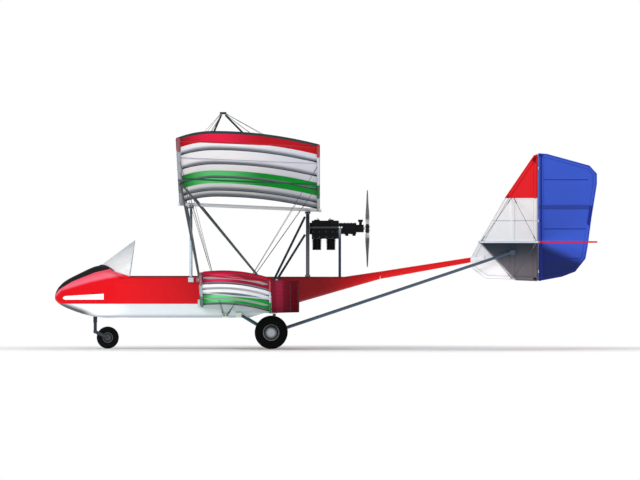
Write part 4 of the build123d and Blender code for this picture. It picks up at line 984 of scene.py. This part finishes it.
def make_grommets():
    """Eyelets where the flying wires pass through the lower sails."""
    def build(shape):
        for rod in loose_rods(NODES["flying_wires"]):
            low, high = sorted(rod, key=lambda p: p.z)
            side = 1 if low.y + high.y > 0 else -1
            up = Vector((0, -side * math.sin(LOWER.dihedral), math.cos(LOWER.dihedral)))
            spot = sail_crossing(low, high, side, up)
            if spot is not None:
                for lift in EYELET_LIFTS:
                    add_turned(shape, spot + up * lift, up, EYELET, 20, loop=True)
    made_of("sail_eyelets", build, MAT["steel"], AIRFRAME)


for side_name, side in SIDES:
    for label, wing in (("upper", UPPER), ("lower", LOWER)):
        sail, cloth_width, cloth_length = make_sail(
            f"{label}_sail_cloth_{side_name}", wing, side, f"{label}_sail_{side_name}", MAT[label + "_sail"])
        pockets = make_pockets(f"{label}_rib_pockets_{side_name}", label, wing, side)
make_wire_ends()
make_grommets()


# Surfaces to lay things on

def tree_of(name):
    """A search tree of a node's surface."""
    mesh = NODES[name].data
    return BVHTree.FromPolygons([v.co for v in mesh.vertices], [p.vertices for p in mesh.polygons])


def surface_at(tree, point, axis, side, fallback):
    """The height of a surface along an axis, seen from one side of it, at a point."""
    start = Vector(point)
    start[axis] = fallback + side * 1.0
    way = Vector((0, 0, 0))
    way[axis] = -side
    hit = tree.ray_cast(start, way)[0]
    return fallback if hit is None else hit[axis]


BAND_SINK = 0.0004
BAND_STEP = 0.02
TAPE_HEIGHT = 0.0012


def add_laid_band(shape, tree, points, across, axis, side, middle, height, closed=False):
    """A thin band laid on a surface. Points are its middle line, and across is half its width at each."""
    rings = []
    for point, half in zip(points, across):
        ring = []
        for edge, lift in ((-1, -BAND_SINK), (-1, height), (1, height), (1, -BAND_SINK)):
            spot = point + half * edge
            spot[axis] = surface_at(tree, spot, axis, side, middle) + side * lift
            ring.append(shape.verts.new(spot))
        rings.append(ring)
    join_rings(shape, rings, closed)


def flat_outline(name, u, v, keep):
    """The convex outline of a flat node on two of its axes."""
    points = sorted({(round(p.co[u], 5), round(p.co[v], 5)) for p in NODES[name].data.vertices if keep(p.co)})
    outline = []
    for walk in (points, points[::-1]):
        start = len(outline)
        for p in walk:
            while len(outline) >= start + 2:
                (ax, ay), (bx, by) = outline[-2:]
                if (bx - ax) * (p[1] - ay) - (by - ay) * (p[0] - ax) > 0:
                    break
                outline.pop()
            outline.append(p)
        outline.pop()
    return [Vector(p) for p in outline]


def stepped(loop, step):
    """A closed line of points no more than a step apart."""
    points = []
    for a, b in zip(loop, loop[1:] + loop[:1]):
        count = max(1, math.ceil((b - a).length / step))
        points += [a.lerp(b, i / count) for i in range(count)]
    return points


def edge_tape(name, node, axes, start, width, material, body, keep=lambda p: True):
    """A sewn border along a flat piece's outline, on both of its faces."""
    u, v, w = axes
    tree = tree_of(node)
    low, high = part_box(node)
    middle = (low[w] + high[w]) / 2
    loop = stepped(flat_outline(node, u, v, keep), BAND_STEP)
    points, across = [], []
    for i, point in enumerate(loop):
        along = (loop[(i + 1) % len(loop)] - loop[i - 1]).normalized()
        inward = Vector((-along.y, along.x))
        spot, half = Vector((0, 0, 0)), Vector((0, 0, 0))
        spot[u], spot[v] = point + inward * (start + width / 2)
        half[u], half[v] = inward * width / 2
        points.append(spot)
        across.append(half)

    def build(shape):
        for side in (-1, 1):
            add_laid_band(shape, tree, points, across, w, side, middle, TAPE_HEIGHT, closed=True)
    return made_of(name, build, material, body, 60)


# Tail and ailerons: sewn borders, ribs under the cloth and the rudder's seal

RUDDER_AXIS_X = 2.606
RUDDER_NOSE = 0.018
HEM_WIDTH, HEM_START = 0.038, 0.010
FLAT_HEM_WIDTH, FLAT_HEM_START = 0.03, 0.006
STAB_REAR_X = 2.575
SEAL_LAP, SEAL_GAP, SEAL_HALF = 0.002, 0.0015, 0.009
SEAL_Z = (0.832, 2.366)


def make_tail_details():
    """Sewn borders on the tail's surfaces, and the seal in the gap before the rudder."""
    edge_tape("fin_border", "fin", (0, 2, 1), HEM_START, HEM_WIDTH, MAT["fin_hem"], AIRFRAME,
              lambda p: p.x <= FIN_REAR_X + 0.001)
    edge_tape("rudder_border", "rudder", (0, 2, 1), HEM_START + 0.001, HEM_WIDTH, MAT["blue_hem"], "rudder")
    for side_name, _ in SIDES:
        stabilizer, elevator = f"stabilizer_{side_name}", f"elevator_{side_name}"
        edge_tape(f"stabilizer_border_{side_name}", stabilizer, (0, 1, 2), FLAT_HEM_START, FLAT_HEM_WIDTH,
                  MAT["hem"], AIRFRAME, lambda p: p.x < STAB_REAR_X)
        edge_tape(f"elevator_border_{side_name}", elevator, (0, 1, 2), FLAT_HEM_START, FLAT_HEM_WIDTH,
                  MAT["red_hem"], elevator)

    def seal(shape):
        rear = RUDDER_AXIS_X - RUDDER_NOSE - SEAL_GAP
        add_block(shape, (FIN_REAR_X - SEAL_LAP, -SEAL_HALF, SEAL_Z[0]), (rear, SEAL_HALF, SEAL_Z[1]))
    bevel(made_of("rudder_gap_seal", seal, MAT["navy"], AIRFRAME), 0.001)


RIB_CAP, CAP_HEIGHT = 0.005, 0.0008
# height, front end and rear end of the ribs that show
FIN_RIBS = ((1.56, 2.02, 2.57),)
RUDDER_RIBS = ((2.06, 2.63, 3.20), (1.46, 2.63, 3.17), (1.10, 2.63, 3.08))
AILERON_RIBS = (0.004, 0.14, 0.29, 0.43, 0.57, 0.71, 0.86, 0.996)   # as shares of the ribs' span
AILERON_RIB_Y, AILERON_RIB_SPAN = 0.386, 2.66
AILERON_X = (-0.635, -0.332)
AILERON_SPARS = (-0.433, -0.337)
AILERON_SPAR_Y = (0.392, 3.040)


def add_cap(shape, tree, start, end, across, axis, middle, steps):
    """A rib's or a spar's cap from one point to another, on both faces of a flat piece."""
    points = [Vector(start).lerp(Vector(end), i / steps) for i in range(steps + 1)]
    for side in (-1, 1):
        add_laid_band(shape, tree, points, [Vector(across)] * len(points), axis, side, middle, CAP_HEIGHT)


def make_rib_caps():
    """The ribs of the tail and the ailerons, as they press through the cloth."""
    for node, body, key, ribs in (
            ("fin", AIRFRAME, "hem", FIN_RIBS), ("rudder", "rudder", "blue_hem", RUDDER_RIBS)):
        tree = tree_of(node)

        def build(shape):
            for z, front, rear in ribs:
                add_cap(shape, tree, (front, 0, z), (rear, 0, z), (0, 0, RIB_CAP), 1, 0.0, 24)
        made_of(node + "_rib_caps", build, MAT[key], body, 60)
    for side_name, side in SIDES:
        node = f"aileron_{side_name}"
        tree = tree_of(node)
        low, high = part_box(node)
        middle = (low[2] + high[2]) / 2

        def build(shape):
            for share in AILERON_RIBS:
                y = side * (AILERON_RIB_Y + share * AILERON_RIB_SPAN)
                start, end = ((x, y, 0) for x in AILERON_X)
                add_cap(shape, tree, start, end, (0, RIB_CAP, 0), 2, middle, 16)
            for x in AILERON_SPARS:
                start, end = ((x, side * y, 0) for y in AILERON_SPAR_Y)
                add_cap(shape, tree, start, end, (RIB_CAP * 0.8, 0, 0), 2, middle, 30)
        made_of(node + "_rib_caps", build, MAT["aileron_line"], node, 60)


# Pod: screen, coaming, seats, dials, grips, rivets and bolts

# the screen's foot and arch as half ellipses: middle, the way to the crown, half width
SCREEN_BASE = (Vector((-2.396, 0, 0.788)), Vector((-500, 0, 131)).normalized() * 0.500, 0.298)
SCREEN_ARCH = (Vector((-2.394, 0, 0.894)), Vector((65, 0, 441)).normalized() * 0.4338, 0.292)
# the plane of the clear sheet's foot, in X and Z
SCREEN_LINE = ((-2.768, 1.010), (-2.396, 0.885))
SCREEN_THICK, SKIRT_THICK, SKIRT_LAP = 0.0025, 0.0035, 0.006
SCREEN_TURNS, SCREEN_ROWS = 48, 14
BINDING_RADIUS, FOOT_RADIUS = 0.0035, 0.0032


def half_ellipse(curve, turn):
    """A point of a half ellipse at an angle from its crown."""
    middle, reach, half_width = curve
    return middle + reach * math.cos(turn) + Vector((0, half_width * math.sin(turn), 0))


def make_screen():
    """A bent clear sheet up to its arch, bound at both edges, on a painted skirt that meets the cowl."""
    shell = tree_of("pod_upper_shell")
    (x0, z0), (x1, z1) = SCREEN_LINE
    slope = (z1 - z0) / (x1 - x0)
    sheet_grid, skirt_grid = [], []
    for n in range(SCREEN_TURNS + 1):
        turn = math.radians(-90 + 180 * n / SCREEN_TURNS)
        foot, top = half_ellipse(SCREEN_BASE, turn), half_ellipse(SCREEN_ARCH, turn)
        hit, _, _, far = shell.ray_cast(top, (foot - top).normalized())
        landing = 1 - (far / (foot - top).length if hit else 1.0)
        # where the line from foot to top crosses the plane of the sheet's foot
        below, above = (p.z - z0 - slope * (p.x - x0) for p in (foot, top))
        crossing = below / (below - above) if below < 0 < above else 0.0
        share = min(max(landing, crossing), 0.98)
        start = foot.lerp(top, share)
        sheet_grid.append([start.lerp(top, i / SCREEN_ROWS) for i in range(SCREEN_ROWS + 1)])
        skirt_grid.append([foot.lerp(top, min(landing, share) - SKIRT_LAP), start])
    sheet, _ = (
        made_of(name, lambda shape: add_cloth(shape, grid, thick), MAT[key], AIRFRAME, 60)
        for name, grid, thick, key in (
            ("screen_sheet", sheet_grid, SCREEN_THICK, "glass"),
            ("screen_skirt", skirt_grid, SKIRT_THICK, "pod_red")))
    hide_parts("windscreen")
    for name, end, radius, key in (
            ("screen_binding", -1, BINDING_RADIUS, "screen_edge"),
            ("screen_foot_strip", 0, FOOT_RADIUS, "screen_foot")):
        made_of(name, lambda shape: add_tube(shape, [row[end] for row in sheet_grid], radius, 8),
                MAT[key], AIRFRAME)


OPENING = (-2.396, 0.352, 0.268, -0.900, 0.090)   # centre X, front reach, half width, rear X, rear corner
OPENING_INSIDE_X = -1.7
COAMING_RADIUS = 0.009
COAMING_OUT = 0.006
SILL_Z = 0.878


def opening_path():
    """Points round the cockpit opening, from the nose end round the right side and back."""
    middle, reach, half, rear, corner = OPENING
    right = [Vector((middle - reach * math.cos(a), half * math.sin(a), 0))
             for a in (math.radians(90 * i / 16) for i in range(17))]
    right += [Vector((middle + (rear - corner - middle) * i / 10, half, 0)) for i in range(1, 11)]
    right += [Vector((rear - corner + corner * math.sin(a), half - corner + corner * math.cos(a), 0))
              for a in (math.radians(90 * i / 6) for i in range(1, 7))]
    return right + [Vector((p.x, -p.y, 0)) for p in right[:0:-1]]


def make_coaming():
    """A padded roll round the opening's edge."""
    shell = tree_of("pod_upper_shell")
    path = opening_path()
    centre = Vector((OPENING_INSIDE_X, 0, 0))

    def build(shape):
        rings = []
        for i, point in enumerate(path):
            way = (path[(i + 1) % len(path)] - path[i - 1]).normalized()
            outward = Vector((way.y, -way.x, 0))
            if outward.dot(point - centre) < 0:
                outward = -outward
            spot = point + outward * COAMING_OUT
            spot.z = surface_at(shell, spot + outward * COAMING_OUT, 2, 1, SILL_Z) + 0.001
            rings.append(add_ring(shape, spot, outward, Vector((0, 0, 1)), COAMING_RADIUS, 10))
        join_rings(shape, rings, closed=True)
    made_of("cockpit_coaming", build, MAT["vinyl"], AIRFRAME, 60)


SEAT_FRONTS = (("front", -2.190), ("rear", -1.370))
SEAT_HALF_WIDTH = 0.180
# where each pad lies on the seat: its two ends along the seat's side profile, and its thickness
PADS = (("bottom", (0.020, 0.498), (0.372, 0.4575), 0.050), ("back", (0.412, 0.515), (0.528, 0.820), 0.042))
PAD_CHANNELS = 4
PAD_GRID = (29, 15)
PAD_EDGE, PAD_LIFT = 0.001, 0.0004
# a shoulder strap's line on the right side, from the seat's front
BELT_PATH = ((0.560, 0.10, 0.852), (0.548, 0.10, 0.862), (0.500, 0.10, 0.830),
             (0.400, 0.11, 0.600), (0.330, 0.12, 0.520), (0.200, 0.10, 0.530))
BELT_HALF_WIDTH, BELT_THICK = 0.022, 0.003


def add_pad(shape, start, end, thick):
    """A crowned pad with sewn channels across it, flat on the side that lies on the seat."""
    along = end - start
    up = Vector((0, 1, 0)).cross(along).normalized()
    if up.x < 0 and up.z < 0 or up.z < -0.01:
        up = -up
    rows, columns = PAD_GRID
    pairs = []
    for i in range(rows):
        u = i / (rows - 1)
        crown = (1 - abs(2 * u - 1) ** 6) ** 0.5
        seam = abs(math.sin(math.pi * u * PAD_CHANNELS)) ** 0.35
        pairs.append([])
        for j in range(columns):
            v = 2 * j / (columns - 1) - 1
            edge = (1 - abs(v) ** 6) ** 0.5
            pull = 1 - 0.03 * math.sin(math.pi * u) * abs(v) ** 2
            spot = start + along * u + Vector((0, SEAT_HALF_WIDTH * v * pull, 0))
            height = PAD_EDGE + thick * crown * edge * (0.72 + 0.28 * seam)
            pairs[-1].append([shape.verts.new(spot + up * rise) for rise in (height, PAD_LIFT)])
    close_grid(shape, pairs)


def make_seat_pads():
    """The seats' cushions and shoulder straps."""
    for seat, front in SEAT_FRONTS:
        for part, (x0, z0), (x1, z1), thick in PADS:
            start, end = Vector((front + x0, 0, z0)), Vector((front + x1, 0, z1))
            pad = made_of(f"seat_pad_{part}_{seat}", lambda shape: add_pad(shape, start, end, thick),
                          MAT["cushion"], AIRFRAME, 80)
        for side_name, side in SIDES:
            path = [(front + x, side * y, z) for x, y, z in BELT_PATH]
            strip(f"seat_belt_{seat}_{side_name}", path, (0, 1, 0), BELT_HALF_WIDTH, (0.3, 0, 1), BELT_THICK,
                  MAT["webbing"], AIRFRAME)


PANEL_X = -2.485
DIALS_Z = 0.772
DIALS_Y = (-0.144, -0.048, 0.048, 0.144)
DIAL_RADIUS = 0.036
# distances from the panel and inward from the rim, round a bezel's section
BEZEL = ((0.007, 0.0), (0.008, 0.002), (0.008, 0.005), (0.004, 0.006))
DIAL_FACE = 0.004
DIAL_TICKS, TICK_LENGTH, TICK_RADIUS = 9, 0.004, 0.0006
HAND_LENGTHS, HAND_RADII = (-0.005, 0.020), (0.0012, 0.0004)


def round_way(degrees):
    """The direction across the panel at an angle from straight up."""
    turn = math.radians(degrees)
    return Vector((0, math.sin(turn), math.cos(turn)))


def make_dials():
    """Four round instruments, with plain hands and ticks."""
    def bezels(shape):
        profile = [(0, 0.0), (0, DIAL_RADIUS)] + [(out, DIAL_RADIUS - inward) for out, inward in BEZEL]
        for y in DIALS_Y:
            add_turned(shape, (PANEL_X, y, DIALS_Z), (1, 0, 0), profile + [(DIAL_FACE, 0.0)], 32)

    def marks(shape):
        for n, y in enumerate(DIALS_Y):
            middle = Vector((PANEL_X + DIAL_FACE + 0.0002, y, DIALS_Z))
            for tick in range(DIAL_TICKS):
                way = round_way(-120 + 30 * tick)
                start = middle + way * (DIAL_RADIUS - 0.0105)
                add_tube(shape, (start, start + way * TICK_LENGTH), TICK_RADIUS, 6)
            way = round_way(-70 + 45 * n)
            hub = middle + Vector((TICK_RADIUS, 0, 0))
            add_tube(shape, [hub + way * length for length in HAND_LENGTHS], HAND_RADII, 6)
    made_of("panel_dials", bezels, MAT["dial_face"], AIRFRAME)
    made_of("dial_marks", marks, MAT["mark"], AIRFRAME)


STICKS_X = (-2.300, -1.480)
GRIP_Z = 0.690
GRIP = (
    (0, 0.0125), (0, 0.016), (0.012, 0.018), (0.024, 0.016), (0.036, 0.018), (0.048, 0.016), (0.060, 0.018),
    (0.072, 0.017), (0.080, 0.012), (0.083, 0.0))


def make_grips():
    """Moulded grips on the two sticks."""
    def build(shape):
        for x in STICKS_X:
            add_turned(shape, (x, 0, GRIP_Z), (0, 0, 1), GRIP, 16)
    made_of("stick_grips", build, MAT["vinyl"], AIRFRAME)


WASHER = 0.0014


def add_bolt(shape, point, way, size):
    """A hexagon bolt head on a washer."""
    rim = size * 1.7
    add_turned(shape, point, way, ((-0.0005, 0.0), (-0.0005, rim), (0.0012, rim), (WASHER, 0.0)), 16)
    add_turned(shape, Vector(point) + Vector(way) * WASHER, way, (
        (0, 0.0), (0, size), (size * 0.8, size), (size * 0.95, size * 0.85), (size * 0.95, 0.0)), 6)


RIVET_Z = 0.5585
RIVET_START_X, RIVET_STEP, RIVET_COUNT = -3.15, 0.058, 44
RIVET = ((-0.0004, 0.0), (-0.0004, 0.0036), (0.0007, 0.0032), (0.0013, 0.0018), (0.0015, 0.0))


def make_rivets():
    """A row of domed rivets along the seam between the shell and the pan."""
    shell = tree_of("pod_upper_shell")

    def build(shape):
        for _, side in SIDES:
            for n in range(RIVET_COUNT):
                spot = Vector((RIVET_START_X + RIVET_STEP * n, 0, RIVET_Z))
                spot.y = surface_at(shell, spot, 1, side, 0.0)
                if abs(spot.y) > 0.05:
                    add_turned(shape, spot, (0, side, 0), RIVET, 8)
    made_of("seam_rivets", build, MAT["rivet"], AIRFRAME)


# where struts bolt to the pod's sides and the fuselage: X, Z, and the node that the bolt goes through
STRUT_BOLTS = (
    (-1.646, 0.852, "front_cabane_struts"), (-1.646, 0.828, "front_cabane_struts"),
    (-1.546, 0.840, "lift_struts"), (-0.814, 0.840, "lift_struts"), (-0.600, 0.84, "rear_braces"))
BEARER_BOLTS_X, BEARER_BOLT_Y, BEARER_BOLT_Z = (0.165, 0.19), 0.1063, 1.479
HUB_FACE_X, HUB_BOLT_CIRCLE, HUB_BOLTS = 0.5301, 0.030, 6


def make_bolts():
    """Bolts through the struts' feet, the engine bearers and the propeller's hub."""
    trees = {name: tree_of(name) for name in {row[2] for row in STRUT_BOLTS}}

    def build(shape):
        for _, side in SIDES:
            for x, z, name in STRUT_BOLTS:
                hit = trees[name].ray_cast(Vector((x, side * 1.0, z)), Vector((0, -side, 0)))[0]
                if hit:
                    add_bolt(shape, hit, (0, side, 0), 0.0065)
            for x in BEARER_BOLTS_X:
                add_bolt(shape, (x, side * BEARER_BOLT_Y, BEARER_BOLT_Z), (0, side, 0), 0.006)
    made_of("strut_bolts", build, MAT["steel"], AIRFRAME)

    def hub(shape):
        for n in range(HUB_BOLTS):
            turn = math.radians(360 / HUB_BOLTS * n + 15)
            y, z = HUB_BOLT_CIRCLE * math.cos(turn), PROP_Z + HUB_BOLT_CIRCLE * math.sin(turn)
            add_bolt(shape, (HUB_FACE_X, y, z), (1, 0, 0), 0.0055)
    made_of("propeller_bolts", hub, MAT["steel"], "propeller")


# Wheels: tyres with ribs and grooves

HALF_TRACK = 0.760
# body, tyre node, hub, Y, half width, rim radius. A hub's height is its tyre's radius.
TYRES = (
    ("main_wheel_left", "main_tyre_left", MAIN_HUB, -HALF_TRACK, 0.0475, 0.1003),
    ("main_wheel_right", "main_tyre_right", MAIN_HUB, HALF_TRACK, 0.0475, 0.1003),
    ("nose_wheel", "nose_tyre", NOSE_HUB, 0.0, 0.034, 0.0623))
# the side wall as shares of the half width and of the way from rim to tread
TYRE_WALL = (
    (0.78, 0.0), (0.93, 0.08), (0.985, 0.20), (0.97, 0.22), (0.995, 0.24), (1.0, 0.50), (0.985, 0.66),
    (0.965, 0.675), (0.975, 0.69), (0.93, 0.80), (0.84, 0.91))
GROOVES = (-0.62, -0.22, 0.22, 0.62)   # as shares of the half width
GROOVE_WIDTH, GROOVE_DEPTH = 0.0022, 0.0035


def tyre_profile(radius, half, rim):
    """Half widths and radii round a tyre's section, with ribs on its walls and grooves in its tread."""
    wall = [(half * along, rim + (radius - rim) * out) for along, out in TYRE_WALL]
    wall.append((half * 0.76, radius - 0.0055))
    tread = []
    for share in GROOVES[::-1]:
        middle = half * share
        crown = radius - 0.004 * share ** 2 - 0.003 * abs(share) ** 5
        tread += [(middle + GROOVE_WIDTH * 1.5, crown), (middle + GROOVE_WIDTH, crown - GROOVE_DEPTH),
                  (middle - GROOVE_WIDTH, crown - GROOVE_DEPTH), (middle - GROOVE_WIDTH * 1.5, crown)]
        if share == GROOVES[2]:
            tread.append((0.0, radius))
    return wall + tread + [(-along, out) for along, out in wall[::-1]]


def make_tyres():
    """Rubber tyres in place of the plain ones."""
    for body, node, (x, radius), y, half, rim in TYRES:
        centre, profile = (x, y, radius), tyre_profile(radius, half, rim)
        tyre = made_of(node + "_rubber", lambda shape: add_turned(
            shape, centre, (0, 1, 0), profile, 96, loop=True), MAT["tyre"], body, 40)
        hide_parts(node)


# Engine: plug leads and crankcase bolts

PLUGS_X = (-0.112, 0.034)
# a plug lead's line on the right side, from its plug's X
LEAD_PATH = ((0.0, 0.030, 1.566), (0.01, 0.050, 1.588), (0.03, 0.078, 1.575), (0.04, 0.0865, 1.54),
             (0.04, 0.0865, 1.50))
LEAD_RADIUS = 0.0035
CRANKCASE_BOLTS_X = (-0.16, -0.08, 0.0, 0.08, 0.14)
CRANKCASE_BOLTS_Z = (1.425, 1.36)
CRANKCASE_SIDE_Y = 0.082


def make_engine_details():
    """Plug leads over the top, and the bolts along the crankcase's sides."""
    def leads(shape):
        for side in (-1, 1):
            for front in PLUGS_X:
                add_tube(shape, [(front + x, side * y, z) for x, y, z in LEAD_PATH], LEAD_RADIUS, 8)
    made_of("plug_leads", leads, MAT["vinyl"], AIRFRAME)

    def bolts(shape):
        for side in (-1, 1):
            for x in CRANKCASE_BOLTS_X:
                for z in CRANKCASE_BOLTS_Z:
                    add_bolt(shape, (x, side * CRANKCASE_SIDE_Y, z), (0, side, 0), 0.005)
    made_of("crankcase_bolts", bolts, MAT["engine_trim"], AIRFRAME)


for make in (make_tail_details, make_rib_caps, make_screen, make_coaming, make_seat_pads, make_dials,
             make_grips, make_rivets, make_bolts, make_tyres, make_engine_details):
    make()


# Stage: floor, light and camera

FAR = 200.0
PHOTO_WIDTH_M = 7.808
SENSOR = 36.0
CENTRE = Vector((-0.073, 0.0, 1.325))
FLOOR_HALF, FLOOR_Z = 260.0, -0.002
FLOOR_FADES = (2.6, 6.0)
# name, place, power and size
LIGHTS = (
    ("key", (-7, -12, 9), 1000, 7), ("low", (-1, -14, 0.7), 330, 9), ("rear", (4, 12, 9), 450, 8),
    ("under", (-0.073, 0, 0.01), 110, 8))


def floor_material():
    """A pale floor near the aircraft that turns to plain white further out."""
    s = Shader("floor_pale")
    x, y, _ = s.axes()
    far = s.distance(x, s.times(y, math.sqrt(0.5)))
    seen = s.tree.nodes.new("ShaderNodeLightPath").outputs["Is Camera Ray"]
    glow = s.tree.nodes.new("ShaderNodeEmission")
    glow.inputs["Color"].default_value = (1, 1, 1, 1)
    s.finish(rgba(0.92, 0.92, 0.92), 0.9)
    blend = s.tree.nodes.new("ShaderNodeMixShader")
    s.set(blend.inputs[0], s.times(s.ramp(far, *FLOOR_FADES), seen))
    s.set(blend.inputs[1], s.bsdf.outputs[0])
    s.set(blend.inputs[2], glow.outputs[0])
    s.set(s.tree.nodes["Material Output"].inputs["Surface"], blend.outputs[0])
    return s.material


def make_floor():
    """A flat floor just under the tyres."""
    shape = bmesh.new()
    bmesh.ops.create_grid(shape, x_segments=1, y_segments=1, size=FLOOR_HALF)
    mesh = bpy.data.meshes.new("floor")
    shape.to_mesh(mesh)
    shape.free()
    floor = bpy.data.objects.new("floor", mesh)
    bpy.context.scene.collection.objects.link(floor)
    floor.location.z = FLOOR_Z
    mesh.materials.append(floor_material())


def make_world():
    """A soft sky for the surfaces, and plain white behind the aircraft."""
    world = bpy.data.worlds.new("studio")
    bpy.context.scene.world = world
    world.use_nodes = True
    tree = world.node_tree
    sky = tree.nodes["Background"]
    sky.inputs["Color"].default_value = (0.95, 0.97, 1.0, 1)
    sky.inputs["Strength"].default_value = 0.55
    backdrop = tree.nodes.new("ShaderNodeBackground")
    backdrop.inputs["Color"].default_value = (1, 1, 1, 1)
    paths = tree.nodes.new("ShaderNodeLightPath")
    seen = tree.nodes.new("ShaderNodeMath")
    seen.operation = "MAXIMUM"
    tree.links.new(paths.outputs["Is Camera Ray"], seen.inputs[0])
    tree.links.new(paths.outputs["Is Transmission Ray"], seen.inputs[1])
    blend = tree.nodes.new("ShaderNodeMixShader")
    tree.links.new(seen.outputs[0], blend.inputs[0])
    tree.links.new(sky.outputs[0], blend.inputs[1])
    tree.links.new(backdrop.outputs[0], blend.inputs[2])
    tree.links.new(blend.outputs[0], tree.nodes["World Output"].inputs["Surface"])


def make_lights():
    """Large soft lamps that the camera doesn't see, all turned to the aircraft."""
    for name, place, power, size in LIGHTS:
        light = bpy.data.lights.new(name, "AREA")
        light.energy = power
        light.size = size
        lamp = bpy.data.objects.new(name, light)
        lamp.location = place
        lamp.rotation_euler = (CENTRE - Vector(place)).to_track_quat("-Z", "Y").to_euler()
        lamp.visible_camera = False
        bpy.context.scene.collection.objects.link(lamp)


def make_camera():
    """A long lens from far on the left side, which sees nearly in parallel."""
    lens = bpy.data.cameras.new("camera")
    lens.sensor_width = SENSOR
    lens.lens = SENSOR * FAR / PHOTO_WIDTH_M
    lens.clip_end = 1000
    camera = bpy.data.objects.new("camera", lens)
    camera.location = CENTRE + Vector((0, -FAR, 0))
    camera.rotation_euler = (math.radians(90), 0, 0)
    bpy.context.scene.collection.objects.link(camera)
    bpy.context.scene.camera = camera
    bpy.context.scene.view_settings.view_transform = "Standard"


make_floor()
make_world()
make_lights()
make_camera()
